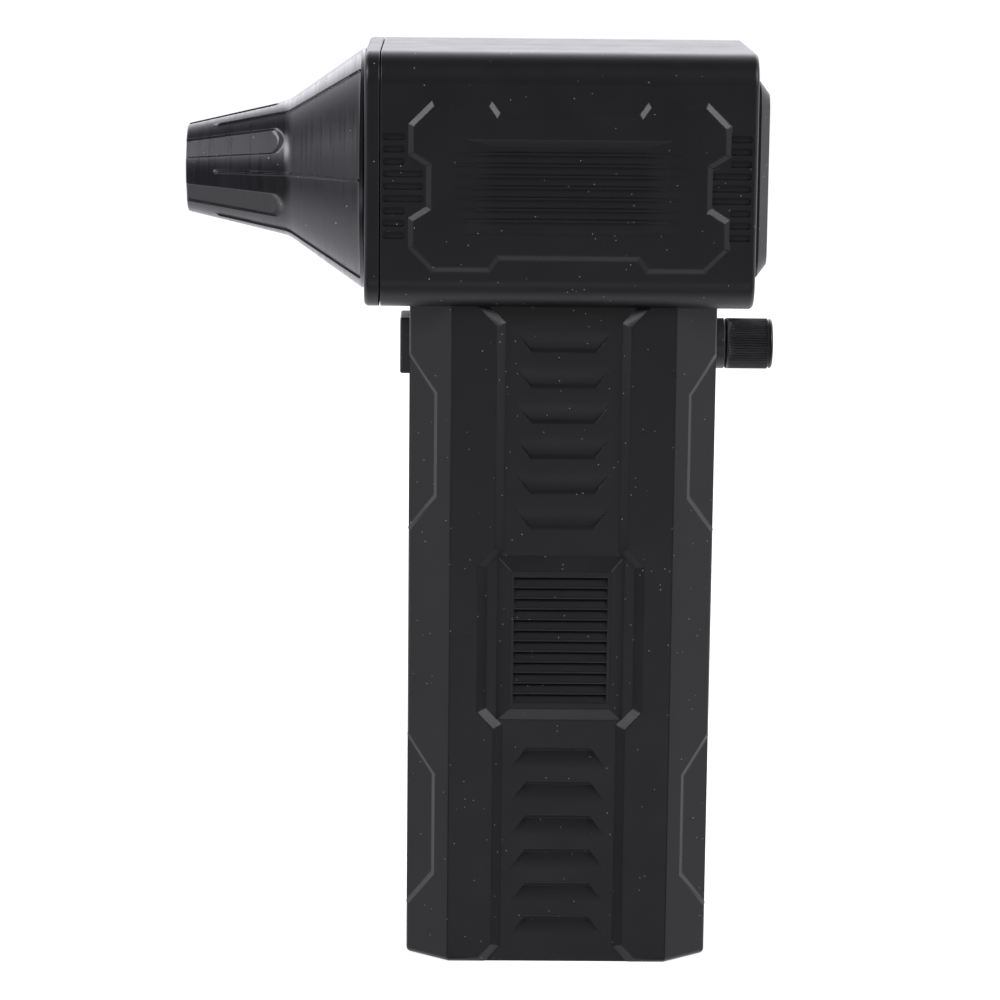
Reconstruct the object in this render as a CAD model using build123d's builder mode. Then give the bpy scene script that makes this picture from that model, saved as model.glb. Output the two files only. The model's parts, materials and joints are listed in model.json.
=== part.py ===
"""Hand-held battery blower for drying a car.

A square head holds an axial fan in a duct, a nozzle cone on the front throws the air, air comes in through
a grille at the back, and a wide straight grip below holds the cells, the electronics, a push button at the
front and a speed knob at the back.

Frame: millimetres, origin at the centre of the grip's bottom face, +Z up, -X the way the air leaves.
"""

import os
from math import atan2, cos, hypot, radians, sin, tan

from build123d import *

# ---------------------------------------------------------------- driving dimensions
HEIGHT = 200.0              # whole blower, standing on its grip
PAST = 1.0                  # how far a cut runs past the face that it opens

# head: a block along X with rounded long edges
HEAD_FRONT = -39.3
HEAD_LENGTH = 79.4
HEAD_WIDTH = 56.0
HEAD_HEIGHT = 54.2
HEAD_EDGE = 6.5             # radius of the four long edges
HEAD_REAR_EDGE = 1.0        # radius round the rear face
HEAD_WALL = 2.4

# grip: an eight-sided prism along Z
GRIP_LENGTH = 66.2          # along X
GRIP_WIDTH = 46.0           # along Y
GRIP_FLAT = 48.0            # the side faces' length along X
GRIP_END = 32.0             # the end faces' width along Y
GRIP_CORNER = 0.8           # radius of the vertical edges
GRIP_BASE_EDGE = 1.2        # radius round the bottom face
GRIP_WALL = 3.0

# central recess of each side face of the grip
RECESS_DEPTH = 1.2
RECESS_SLOPE = 2.0          # width of the sloping wall
RECESS_NARROW = 14.4        # half width above and below the pad
RECESS_WIDE = 18.0          # half width beside the pad and at both ends
RECESS_MIDDLE = 73.2        # height that the pattern mirrors about
RECESS_WIDE_HALF = 16.3     # half height of the wide part
RECESS_JOG = 3.8            # height of the slanted step between the widths
RECESS_END = 4.2            # height of the flare at the top and bottom

# raised pad in the recess, with a sawtooth grille
PAD_HALF_WIDTH = 13.7
PAD_HALF_HEIGHT = 18.2
PAD_HEIGHT = 1.8
PAD_SLOPE = 2.9
LOUVRE_COUNT = 12
LOUVRE_PITCH = 2.36
LOUVRE_HALF_WIDTH = 10.15
LOUVRE_DEPTH = 0.95
LOUVRE_LAND = 0.5

# wedge-shaped grip marks above and below the pad
WEDGE_COUNT = 6
WEDGE_PITCH = 7.7
WEDGE_FIRST = 24.3          # from the mirror height to the nearest mark's deep edge
WEDGE_HEIGHT = 4.9
WEDGE_TOP_HALF = 10.5
WEDGE_DEEP_HALF = 6.9
WEDGE_DEPTH = 0.9

# shallow open panels on the corner facets
FACET_PANEL_START = 3.8     # from the facet's inner edge
FACET_PANEL_LOW = 30.8      # from the mirror height
FACET_PANEL_HIGH = 53.8
FACET_PANEL_DEPTH = 0.55
FACET_PANEL_SLOPE = 1.2
FACET_PANEL_FLARE = 1.12    # rise of the slanted ends for each millimetre across

# raised panel on each side of the head
PANEL_X = 0.45
PANEL_DROP = 0.9            # below the fan axis
PANEL_HALF_LENGTH = 33.9
PANEL_HALF_HEIGHT = 18.1
PANEL_CORNER = 4.95
PANEL_RISE = 0.8
PANEL_SLOPE = 1.2
SIDE_NOTCH = 3.75           # depth of the notch in the panel's ends
SIDE_NOTCH_HALF = 4.25
SIDE_NOTCH_RUN = 2.35
TOP_NOTCH = 2.55            # depth of the notch in its long edges
TOP_NOTCH_HALF = 14.6
TOP_NOTCH_RUN = 1.8
WINDOW_HALF_LENGTH = 21.0   # shallow window in the panel
WINDOW_HALF_HEIGHT = 9.9
WINDOW_DEPTH = 0.5
WINDOW_END_RAMP = 5.5
WINDOW_EDGE_RAMP = 1.2
RIDGE_COUNT = 7
RIDGE_PITCH = 2.34
RIDGE_HALF_LENGTH = 23.5
RIDGE_WIDTH = 0.45
RIDGE_RISE = 0.15           # above the panel's face

# short blind slots between the panel and the head's ends
SLOT_ROWS = 9
SLOT_PITCH = 2.6
SLOT_HEIGHT = 1.5
SLOT_DEPTH = 0.6
SLOT_CORNER = 0.5
SLOT_SHORT = 4.5
SLOT_LONG = 8.4             # the three middle rows, beside the panel's notch
SLOT_MARGIN = 0.6           # from the head's ends

SEAM_WIDTH = 0.24           # groove where the two half shells meet
SEAM_DEPTH = 0.35

# front plate
PLATE_THICK = 3.2
PLATE_GAP = 0.2             # between the plate and the shells' rims
PLATE_EDGE = 1.0
PLATE_BORE = 22.7
PLATE_SCREW_Y = 21.9
PLATE_SCREW_Z = 21.0

# nozzle
NOZZLE_LENGTH = 38.8        # mouth to the plate's front face
MOUTH_RADIUS = 9.6
OUTLET_RADIUS = 8.0
OUTLET_LAND = 6.0
MOUTH_EDGE = 0.5
BREAK_X = 22.0              # from the mouth to where the cone steepens
BREAK_RADIUS = 14.75
BASE_X = 36.6
BASE_RADIUS = 25.05
RIM_RADIUS = 25.9
RIM_THICK = 1.0
NOZZLE_GAP = 0.25           # between the rim and the plate
NOZZLE_WALL = 1.75
NOZZLE_ARMS = 6
NOZZLE_RIB_WIDTH = 0.65
NOZZLE_RIB_RISE = 0.4
NOZZLE_RIB_START = 6.2
FLUTE_MOUTH_WIDTH = 4.2
FLUTE_END_WIDTH = 6.0
FLUTE_LENGTH = 21.2
FLUTE_DEPTH = 0.65
FLUTE_CORNER = 1.3
SPIGOT_RADIUS = 22.4
SPIGOT_WALL = 1.5
BAYONET_LUGS = 3
LUG_ARC = 30.0
LUG_RISE = 1.5
LUG_THICK = 1.6
BAYONET_TURN = 40.0
BAYONET_GAP = 0.3
STOP_ARC = 6.0

# fan duct and motor hub
DUCT_BORE = 21.6
DUCT_WALL = 1.6
DUCT_REAR = 34.0
HUB_RADIUS = 13.5
HUB_WALL = 1.5
HUB_FRONT = -16.0
HUB_REAR = 6.0
HUB_FLOOR = 2.0
VANES = 6
VANE_THICK = 1.4
VANE_ANGLE = 10.0
DAMPER_THICK = 1.5
DAMPER_WIDTH = 3.0
FRONT_DAMPER_X = -34.0
REAR_DAMPER_X = 29.0
LEAD_SLOT = (2.4, 7.6)
TAIL_LENGTH = 14.0
TAIL_TIP = 1.0              # radius of the tail cone's blunt tip
TAIL_NOSE = 2.2             # thickness behind the tip
TAIL_RISE = 2.5             # sagitta of its outer curve
TAIL_INNER_RISE = 2.0

# motor
SHAFT_RADIUS = 1.5
RUNNING = 0.03              # radial clearance of every running fit
BEARING_RADIUS = 3.0
BEARING_WIDTH = 2.5
TUBE_RADIUS = 3.8
TUBE_LENGTH = 16.0
TUBE_TO_BELL = 2.5          # from the tube's end to the bell's back
SHAFT_HOLE_GAP = 0.7        # round the shaft where no bearing holds it
SHAFT_STUB = 1.0            # of the shaft in front of the mount's flange
MOUNT_THICK = 2.0
MOUNT_RADIUS = 11.5
CORE_RADIUS = 8.2
CORE_START = 3.0            # behind the mount's flange
CORE_LENGTH = 11.0
TEETH = 9
TOOTH_WIDTH = 1.3
CORE_SPLIT = 8.0            # degrees between the teeth's shoes
MAGNET_SPLIT = 4.0          # degrees between magnets
COIL_END = 1.0              # of the coils past the core's ends
COIL_INNER = 4.9
COIL_OUTER = 7.2
COIL_WIDTH = 2.9
AIR_GAP = 0.3
MAGNETS = 12
MAGNET_THICK = 1.4
BELL_WALL = 1.0
BELL_FRONT = 2.4            # behind the mount's flange
BELL_CAP = 1.5
MOTOR_SCREW_CIRCLE = 8.0
MOTOR_SCREWS = 4

# impeller
BLADES = 11
BLADE_GAP = 0.4             # from the blade tips to the duct
BLADE_THICK = 1.1
IMPELLER_GAP = 1.6          # from the motor hub to the impeller's hub
IMPELLER_LENGTH = 15.0
IMPELLER_BOSS = 3.6
BLADE_START = 0.6           # from the hub's front edge to the blades
CAVITY_DEPTH = 7.0          # of the hollow that takes the bell
CAVITY_TAPER = (3.0, 3.5)   # length and drop of its conical end
BOSS_OVERLAP = 0.5
HUB_SKIRT = 7.4             # cylindrical length of the impeller's hub
HUB_DOME_RISE = 1.9         # sagitta of its domed end
ROOT_CHORD, ROOT_ANGLE = 15.0, 38.0
TIP_CHORD, TIP_ANGLE = 17.0, 58.0
NUT_RADIUS = 5.0
NUT_LENGTH = 6.0
SHAFT_TIP = 1.6             # from the shaft's end to the nut's outer end

# rear cover and intake
COVER_SIZE = 42.0
COVER_DROP = 0.1            # below the fan axis
COVER_CORNER = 6.0
COVER_THICK = 3.1
COVER_CHAMFER = 2.0
COVER_CHAMFER_SIDE = 2.7
INTAKE_RADIUS = 18.0
COVER_SPIGOT_WALL = 2.0
COVER_SPIGOT_LENGTH = 4.6
COVER_FIT = 0.2
COVER_SCREW = 15.6          # half spacing of the four screws
GUARD_SETBACK = 0.6
GUARD_THICK = 1.8
GUARD_RINGS = 5
GUARD_BAR = 1.0
GUARD_BOSS = 3.6
GUARD_SPOKES = 8

# power button and its switch
BUTTON_Z = 134.85
BUTTON_HEIGHT = 12.3
BUTTON_WIDTH = 12.0
BUTTON_PROUD = 2.2
BUTTON_EDGE = 0.5
BUTTON_GAP = 0.3
BUTTON_TRAVEL = 1.5
FLANGE_THICK = 1.5
FLANGE_MARGIN = 1.3
SWITCH_SIZE = 12.0
SWITCH_DEPTH = 6.5
PLUNGER_RADIUS = 1.7
PLUNGER_FIT = 0.05
PLUNGER_SUNK = 2.5          # length inside the switch at rest
PLUNGER_SPARE = 0.5         # left behind it at the end of its travel
SPRING_RADIUS = 3.2
SPRING_WIRE = 0.5
SPRING_TURNS = 3
SPRING_LENGTH = 3.8
SPRING_FLOAT = 0.05         # free play at each end

# speed knob and its potentiometer
KNOB_Z = 135.1
KNOB_RADIUS = 5.55
KNOB_LENGTH = 10.3
KNOB_EDGE = 0.6
KNOB_GAP = 0.2
COLLAR_LENGTH = 2.7
COLLAR_BORE = 4.4
POT_SIZE = 9.6
POT_DEPTH = 6.5
POT_SHAFT_SUNK = 5.0        # length of the shaft inside the body
POT_SHAFT_GAP = 0.3
KNOB_CAP = 2.0              # closed end of the knob
BUSH_RADIUS = 3.4
BUSH_PROUD = 2.2            # of the grip's end face
POT_NUT = 7.0               # across flats
POT_NUT_THICK = 1.6

# screws that hold the shells together
SCREW_ROWS = (14.0, 80.0, 118.0)
SCREW_X = 25.5
SCREW_RADIUS = 1.1
SCREW_HEAD = 2.1
SCREW_HEAD_HEIGHT = 1.6
SCREW_SEAT = 12.0           # from the parting plane to under the head
SCREW_DEPTH = 9.0           # into the left shell
BOSS_RADIUS = 3.0
SMALL_SCREW = 1.0           # radius of the plate and cover screws
SMALL_HEAD = 1.9
SMALL_BOSS = 2.6
SMALL_SCREW_LENGTH = 8.0

# cells and boards
CELL_RADIUS = 9.2
CELL_LENGTH = 65.0
CELL_BASE = 9.0
CELL_SPACING = 18.8
HOLDER_THICK = 4.0
HOLDER_MARGIN = 1.2
STRAP_THICK = 0.3
STRAP_WIDTH = 7.0
BOARD_THICK = 1.6
BATTERY_BOARD_Z = 78.0
CONTROL_BOTTOM = 86.0
CONTROL_HEIGHT = 36.0
CONTROL_LENGTH = 42.0
POST_RADIUS = 2.0
POST_INSET = 3.0            # from the board's edges
TRANSISTOR = (6.5, 6.1)
TRANSISTOR_THICK = 2.3
TRANSISTOR_PITCH = 9.0
TRANSISTOR_RISE = 6.0       # above the board's centre
CAPACITOR_RADIUS = 4.0
CAPACITOR_HEIGHT = 11.5
CAPACITOR_X = 6.0
CAPACITOR_RISE = 2.0        # above the board's lower edge
HEAT_SINK = (26.0, 24.0)
SINK_THICK = 8.0
SINK_BASE = 1.6
SINK_PITCH = 4.4
SINK_SLOTS = 6
SINK_SLOT_WIDTH = 2.6
CONNECTOR = (5.0, 8.0)
CONNECTOR_HEIGHT = 5.0
LEAD_PITCH = 2.4
BATTERY_LEAD_X = 14.8
BATTERY_LEAD_Y = 5.0
BATTERY_LEAD_RISE = 12.0
BATTERY_LEAD_BEND = 3.0
CHARGE_Z = 38.0
PORT_WIDTH, PORT_HEIGHT, PORT_DEPTH = 8.94, 3.26, 7.0
PORT_WALL = 0.35
PORT_FIT = 0.2
PORT_SETBACK = 0.3          # behind the grip's end face
PORT_BACK_WALL = 1.0
PORT_TONGUE = (6.7, 0.7)
TONGUE_SETBACK = 1.3        # behind the port's mouth
CHARGE_BOARD = (14.0, 20.0)
CHARGE_BOARD_DROP = 1.0     # below the middle of port and light
LIGHT_Z = 48.0
LIGHT_RADIUS = 1.4
WIRE_RADIUS = 0.7

# ---------------------------------------------------------------- derived places
AXIS_Z = HEIGHT - HEAD_HEIGHT / 2
HEAD_BOTTOM = HEIGHT - HEAD_HEIGHT
HEAD_REAR = HEAD_FRONT + HEAD_LENGTH
PANEL_Z = AXIS_Z - PANEL_DROP
GRIP_HALF = GRIP_LENGTH / 2
SIDE = GRIP_WIDTH / 2
PLATE_BACK = HEAD_FRONT - PLATE_GAP
PLATE_FRONT = PLATE_BACK - PLATE_THICK
MOUTH_X = PLATE_FRONT - NOZZLE_LENGTH
LUG_FRONT = PLATE_BACK + BAYONET_GAP
SPIGOT_END = LUG_FRONT + LUG_THICK + 0.5
DUCT_FRONT = SPIGOT_END + BAYONET_GAP
DUCT_OUTER = DUCT_BORE + DUCT_WALL
DAMPER_OUTER = DUCT_OUTER + DAMPER_THICK
MOUNT_FRONT = HUB_FRONT + HUB_FLOOR
FLANGE_BACK = MOUNT_FRONT + MOUNT_THICK
MAGNET_INNER = CORE_RADIUS + AIR_GAP
BELL_INNER = MAGNET_INNER + MAGNET_THICK
BELL_BACK = FLANGE_BACK + TUBE_LENGTH + TUBE_TO_BELL
IMPELLER_FRONT = HUB_REAR + IMPELLER_GAP
IMPELLER_BACK = IMPELLER_FRONT + IMPELLER_LENGTH
SHAFT_END = IMPELLER_BACK + NUT_LENGTH - SHAFT_TIP
COVER_BACK = HEAD_REAR + COVER_THICK
SHAFT_FRONT = FLANGE_BACK - SHAFT_STUB
GRIP_INNER = GRIP_HALF - GRIP_WALL
BUTTON_FRONT = -GRIP_HALF - BUTTON_PROUD
FLANGE_FRONT = -GRIP_INNER + BUTTON_GAP
FLANGE_REAR = FLANGE_FRONT + FLANGE_THICK
SWITCH_FRONT = FLANGE_REAR + SPRING_LENGTH
KNOB_START = GRIP_HALF + COLLAR_LENGTH + KNOB_GAP
KNOB_END = KNOB_START + KNOB_LENGTH
CONTROL_TOP = CONTROL_BOTTOM + CONTROL_HEIGHT
FAN_AXIS = Axis((0, 0, AXIS_Z), (1, 0, 0))


# ---------------------------------------------------------------- shared helpers
def across(x, z=AXIS_Z):
    """Plane across the X direction: its own x is the row's Y, its own y is the row's Z, +normal is +X."""
    return Plane(origin=(x, 0, z), x_dir=(0, 1, 0), z_dir=(1, 0, 0))


def along(angle=0.0, z=AXIS_Z):
    """Half plane through an axis along X, turned about it: its own x is X, its own y the radius."""
    turn = radians(angle)
    return Plane(origin=(0, 0, z), x_dir=(1, 0, 0), z_dir=(0, -cos(turn), -sin(turn)))


def side_plane(y=-SIDE):
    """Plane on the left side face: its own x is X, its own y is Z, +normal is -Y."""
    return Plane(origin=(0, y, 0), x_dir=(1, 0, 0), z_dir=(0, -1, 0))


def outline(plane, points):
    """Closed polygon face on a plane."""
    with BuildSketch(plane) as sketch:
        with BuildLine():
            Polyline(*points, close=True)
        make_face()
    return sketch.sketch


def inset(points, distance):
    """Polygon moved inwards by a distance with mitred corners; the points run anticlockwise."""
    count = len(points)
    moved = []
    for i, (x, y) in enumerate(points):
        before, after = points[i - 1], points[(i + 1) % count]
        a = atan2(y - before[1], x - before[0])
        b = atan2(after[1] - y, after[0] - x)
        reach = distance / cos((b - a) / 2)
        middle = (a + b) / 2
        moved.append((x - reach * sin(middle), y + reach * cos(middle)))
    return moved


def unwrapped(points):
    """Four-way symmetric polygon from its first quadrant, anticlockwise."""
    second = [(-x, y) for x, y in reversed(points)]
    third = [(-x, -y) for x, y in points]
    fourth = [(x, -y) for x, y in reversed(points)]
    return points + second + third + fourth


def bevelled(plane, points, rise, slope):
    """Solid between an outline and the same outline drawn in, a height apart: a raised or sunk form."""
    return loft([outline(plane, points), outline(plane.offset(rise), inset(points, slope))],
                ruled=True, mode=Mode.PRIVATE)


def turned(profile, axis=FAN_AXIS):
    """Solid of revolution of an (x, radius) profile about the fan axis."""
    return revolve(outline(along(), profile), axis=axis, mode=Mode.PRIVATE)


def bulged(start, end, sagitta):
    """Arc between two points that stands off their chord by the sagitta, on the left of its direction."""
    run, rise = end[0] - start[0], end[1] - start[1]
    chord = hypot(run, rise)
    top = ((start[0] + end[0]) / 2 - sagitta * rise / chord, (start[1] + end[1]) / 2 + sagitta * run / chord)
    return ThreePointArc(start, top, end)


def ring_arc(plane, inner, outer, middle, arc):
    """Annular sector face."""
    low, high = middle - arc / 2, middle + arc / 2
    with BuildSketch(plane) as sketch:
        with BuildLine():
            far = CenterArc((0, 0), outer, low, arc)
            near = CenterArc((0, 0), inner, low, arc)
            Line(far @ 0, near @ 0)
            Line(far @ 1, near @ 1)
        make_face()
    return sketch.sketch


def finish(part, name):
    """Label a finished piece and write it."""
    part.label = name
    export_step(part, f"parts/{name}.step")


os.makedirs("parts", exist_ok=True)

# ---------------------------------------------------------------- grip block
grip_section = unwrapped([(GRIP_HALF, GRIP_END / 2), (GRIP_FLAT / 2, SIDE)])

with BuildPart() as pad:
    pad_base = side_plane(-SIDE + RECESS_DEPTH)
    pad_plane = Plane(pad_base.origin + Vector(0, 0, RECESS_MIDDLE), pad_base.x_dir, pad_base.z_dir)
    add(bevelled(pad_plane, unwrapped([(PAD_HALF_WIDTH, PAD_HALF_HEIGHT)]), PAD_HEIGHT, PAD_SLOPE))
    pad_face = -SIDE + RECESS_DEPTH - PAD_HEIGHT
    with BuildSketch(Plane.YZ.offset(-LOUVRE_HALF_WIDTH)):
        for row in range(LOUVRE_COUNT):
            top = RECESS_MIDDLE + (LOUVRE_COUNT / 2 - row) * LOUVRE_PITCH - LOUVRE_LAND / 2
            foot = top - LOUVRE_PITCH + LOUVRE_LAND
            with BuildLine():
                Polyline((pad_face - 1, top), (pad_face + LOUVRE_DEPTH, top), (pad_face, foot),
                         (pad_face - 1, foot), close=True)
            make_face()
    extrude(amount=2 * LOUVRE_HALF_WIDTH, mode=Mode.SUBTRACT)

with BuildPart() as wedges:
    recess_floor = -SIDE + RECESS_DEPTH
    for row in range(WEDGE_COUNT):
        foot = RECESS_MIDDLE + WEDGE_FIRST + row * WEDGE_PITCH
        rim = foot + WEDGE_HEIGHT
        spread = WEDGE_TOP_HALF + (WEDGE_TOP_HALF - WEDGE_DEEP_HALF) / WEDGE_HEIGHT
        side_walls = [(-WEDGE_DEEP_HALF, foot), (WEDGE_DEEP_HALF, foot), (spread, rim + 1),
                      (-spread, rim + 1)]
        mark = extrude(outline(side_plane(recess_floor + 2), side_walls), amount=3, mode=Mode.PRIVATE)
        floor_line = [(recess_floor - 1, rim + 1 / WEDGE_DEPTH), (recess_floor, rim),
                      (recess_floor + WEDGE_DEPTH, foot + WEDGE_DEPTH), (recess_floor, foot),
                      (recess_floor - 1, foot)]
        with BuildSketch(Plane.YZ) as cut_line:
            with BuildLine():
                Polyline(*floor_line, close=True)
            make_face()
        cut = extrude(cut_line.sketch, amount=2 * WEDGE_TOP_HALF, both=True, mode=Mode.PRIVATE)
        add(mark & cut)
    mirror(about=Plane.XY.offset(RECESS_MIDDLE))

with BuildPart() as facet_panels:
    run_x, run_y = GRIP_HALF - GRIP_FLAT / 2, SIDE - GRIP_END / 2
    facet = Plane(origin=(GRIP_FLAT / 2, -SIDE, RECESS_MIDDLE), x_dir=(run_x, run_y, 0),
                  z_dir=(run_y, -run_x, 0))
    reach = hypot(run_x, run_y) + 1.5
    flare = (reach - FACET_PANEL_START) * FACET_PANEL_FLARE
    panel = [(FACET_PANEL_START, FACET_PANEL_LOW), (reach, FACET_PANEL_LOW - flare),
             (reach, FACET_PANEL_HIGH + flare), (FACET_PANEL_START, FACET_PANEL_HIGH)]
    add(bevelled(facet, panel, -FACET_PANEL_DEPTH, FACET_PANEL_SLOPE))
    mirror(about=Plane.XY.offset(RECESS_MIDDLE))
    mirror(about=Plane.YZ)
    mirror(about=Plane.XZ)

with BuildPart() as grip:
    with BuildSketch():
        with BuildLine():
            Polyline(*grip_section, close=True)
        make_face()
        fillet(vertices(), GRIP_CORNER)
    extrude(amount=AXIS_Z)
    fillet(faces().sort_by(Axis.Z)[0].edges(), GRIP_BASE_EDGE)
    narrow_top = HEAD_BOTTOM - RECESS_END
    right_edge = [(RECESS_WIDE + 2, -2), (RECESS_NARROW, RECESS_END),
                  (RECESS_NARROW, RECESS_MIDDLE - RECESS_WIDE_HALF - RECESS_JOG),
                  (RECESS_WIDE, RECESS_MIDDLE - RECESS_WIDE_HALF),
                  (RECESS_WIDE, RECESS_MIDDLE + RECESS_WIDE_HALF),
                  (RECESS_NARROW, RECESS_MIDDLE + RECESS_WIDE_HALF + RECESS_JOG),
                  (RECESS_NARROW, narrow_top), (RECESS_WIDE + 2, HEAD_BOTTOM + 2)]
    recess = right_edge + [(-x, z) for x, z in reversed(right_edge)]
    left_recess = bevelled(side_plane(), recess, -RECESS_DEPTH, RECESS_SLOPE)
    add(left_recess, mode=Mode.SUBTRACT)
    add(pad.part)
    add(wedges.part, mode=Mode.SUBTRACT)
    right_recess = mirror(left_recess, about=Plane.XZ, mode=Mode.PRIVATE)
    add(right_recess, mode=Mode.SUBTRACT)
    add(mirror(pad.part, about=Plane.XZ, mode=Mode.PRIVATE))
    add(mirror(wedges.part, about=Plane.XZ, mode=Mode.PRIVATE), mode=Mode.SUBTRACT)
    add(facet_panels.part, mode=Mode.SUBTRACT)

# ---------------------------------------------------------------- head block
head_side = -HEAD_WIDTH / 2
panel_outline = unwrapped([
    (PANEL_HALF_LENGTH - SIDE_NOTCH, SIDE_NOTCH_HALF),
    (PANEL_HALF_LENGTH, SIDE_NOTCH_HALF + SIDE_NOTCH_RUN),
    (PANEL_HALF_LENGTH, PANEL_HALF_HEIGHT - PANEL_CORNER),
    (PANEL_HALF_LENGTH - PANEL_CORNER, PANEL_HALF_HEIGHT),
    (TOP_NOTCH_HALF + TOP_NOTCH_RUN, PANEL_HALF_HEIGHT),
    (TOP_NOTCH_HALF, PANEL_HALF_HEIGHT - TOP_NOTCH)])
panel_face = head_side - PANEL_RISE


def on_head(y):
    """Plane beside the head, centred on its raised panel."""
    return Plane(origin=(PANEL_X, y, PANEL_Z), x_dir=(1, 0, 0), z_dir=(0, -1, 0))


with BuildPart() as head_panel:
    add(bevelled(on_head(head_side), panel_outline, PANEL_RISE, PANEL_SLOPE))
    window = unwrapped([(WINDOW_HALF_LENGTH, WINDOW_HALF_HEIGHT)])
    floor_window = unwrapped([(WINDOW_HALF_LENGTH - WINDOW_END_RAMP, WINDOW_HALF_HEIGHT - WINDOW_EDGE_RAMP)])
    with BuildSketch(on_head(panel_face)) as window_top:
        add(outline(Plane.XY, window))
    with BuildSketch(on_head(panel_face + WINDOW_DEPTH)) as window_floor:
        add(outline(Plane.XY, floor_window))
    loft(ruled=True, mode=Mode.SUBTRACT)
    with BuildSketch(on_head(panel_face + WINDOW_DEPTH)):
        with GridLocations(1, RIDGE_PITCH, 1, RIDGE_COUNT):
            Rectangle(2 * RIDGE_HALF_LENGTH, RIDGE_WIDTH)
    extrude(amount=WINDOW_DEPTH + RIDGE_RISE)

with BuildPart() as head_slots:
    middle_rows = range(SLOT_ROWS // 3, 2 * SLOT_ROWS // 3)
    with BuildSketch(side_plane(head_side)):
        for row in range(SLOT_ROWS):
            length = SLOT_LONG if row in middle_rows else SLOT_SHORT
            z = PANEL_Z + (row - (SLOT_ROWS - 1) / 2) * SLOT_PITCH
            front_slot = HEAD_FRONT + SLOT_MARGIN + length / 2
            rear_slot = HEAD_REAR - HEAD_REAR_EDGE - SLOT_MARGIN / 2 - length / 2
            with Locations((front_slot, z), (rear_slot, z)):
                RectangleRounded(length, SLOT_HEIGHT, SLOT_CORNER)
    extrude(amount=-SLOT_DEPTH)

with BuildPart() as head:
    with BuildSketch(across(HEAD_FRONT)):
        RectangleRounded(HEAD_WIDTH, HEAD_HEIGHT, HEAD_EDGE)
    extrude(amount=HEAD_LENGTH)
    fillet(faces().sort_by(Axis.X)[-1].edges(), HEAD_REAR_EDGE)
    add(head_panel.part)
    add(mirror(head_panel.part, about=Plane.XZ, mode=Mode.PRIVATE))
    add(head_slots.part, mode=Mode.SUBTRACT)
    add(mirror(head_slots.part, about=Plane.XZ, mode=Mode.PRIVATE), mode=Mode.SUBTRACT)

# ---------------------------------------------------------------- what is inside the shells
cavity_width = HEAD_WIDTH - 2 * HEAD_WALL
cavity_height = HEAD_HEIGHT - 2 * HEAD_WALL
cover_z = AXIS_Z - COVER_DROP
cover_spigot = INTAKE_RADIUS + COVER_SPIGOT_WALL

with BuildPart() as hollow:
    with BuildSketch(across(HEAD_FRONT - 1)):
        RectangleRounded(cavity_width, cavity_height, HEAD_EDGE - HEAD_WALL)
    extrude(amount=HEAD_LENGTH - HEAD_WALL + 1)
    with BuildSketch(Plane.XY.offset(GRIP_WALL)):
        with BuildLine():
            Polyline(*inset(grip_section, GRIP_WALL), close=True)
        make_face()
    extrude(amount=AXIS_Z - GRIP_WALL)

with BuildPart() as shell_ribs:
    for x in (FRONT_DAMPER_X, REAR_DAMPER_X):
        with BuildSketch(across(x)):
            Rectangle(cavity_width + 1, cavity_height + 1)
            Circle(DAMPER_OUTER, mode=Mode.SUBTRACT)
        extrude(amount=DAMPER_WIDTH)
    for y_side in (-1, 1):
        for z_side in (-1, 1):
            with BuildSketch(across(PLATE_BACK)):
                with Locations((y_side * PLATE_SCREW_Y, z_side * PLATE_SCREW_Z)):
                    Circle(SMALL_BOSS)
            extrude(amount=SMALL_SCREW_LENGTH)
            with BuildSketch(across(HEAD_REAR - HEAD_WALL, cover_z)):
                with Locations((y_side * COVER_SCREW, z_side * COVER_SCREW)):
                    Circle(SMALL_BOSS)
            extrude(amount=-(HEAD_REAR - HEAD_WALL - DUCT_REAR - 0.3))
    with BuildSketch(Plane.XY.offset(BUTTON_Z - SWITCH_SIZE / 2 - 1)):
        with Locations((SWITCH_FRONT + SWITCH_DEPTH + 1, 0)):
            Rectangle(2, GRIP_WIDTH - 2)
    extrude(amount=SWITCH_SIZE + 2)
    for z in (CONTROL_BOTTOM + POST_INSET, CONTROL_TOP - POST_INSET):
        for x in (-CONTROL_LENGTH / 2 + POST_INSET, CONTROL_LENGTH / 2 - POST_INSET):
            with BuildSketch(Plane(origin=(x, BOARD_THICK / 2, z), z_dir=(0, 1, 0))):
                Circle(POST_RADIUS)
            extrude(amount=SIDE - GRIP_WALL)
            with BuildSketch(Plane(origin=(x, -BOARD_THICK / 2, z), z_dir=(0, -1, 0))):
                Circle(POST_RADIUS)
            extrude(amount=SIDE - GRIP_WALL)
    for z in SCREW_ROWS:
        for x in (-SCREW_X, SCREW_X):
            with BuildSketch(Plane(origin=(x, 0, z), z_dir=(0, 1, 0))):
                Circle(BOSS_RADIUS)
            extrude(amount=SIDE, both=True)

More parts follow.
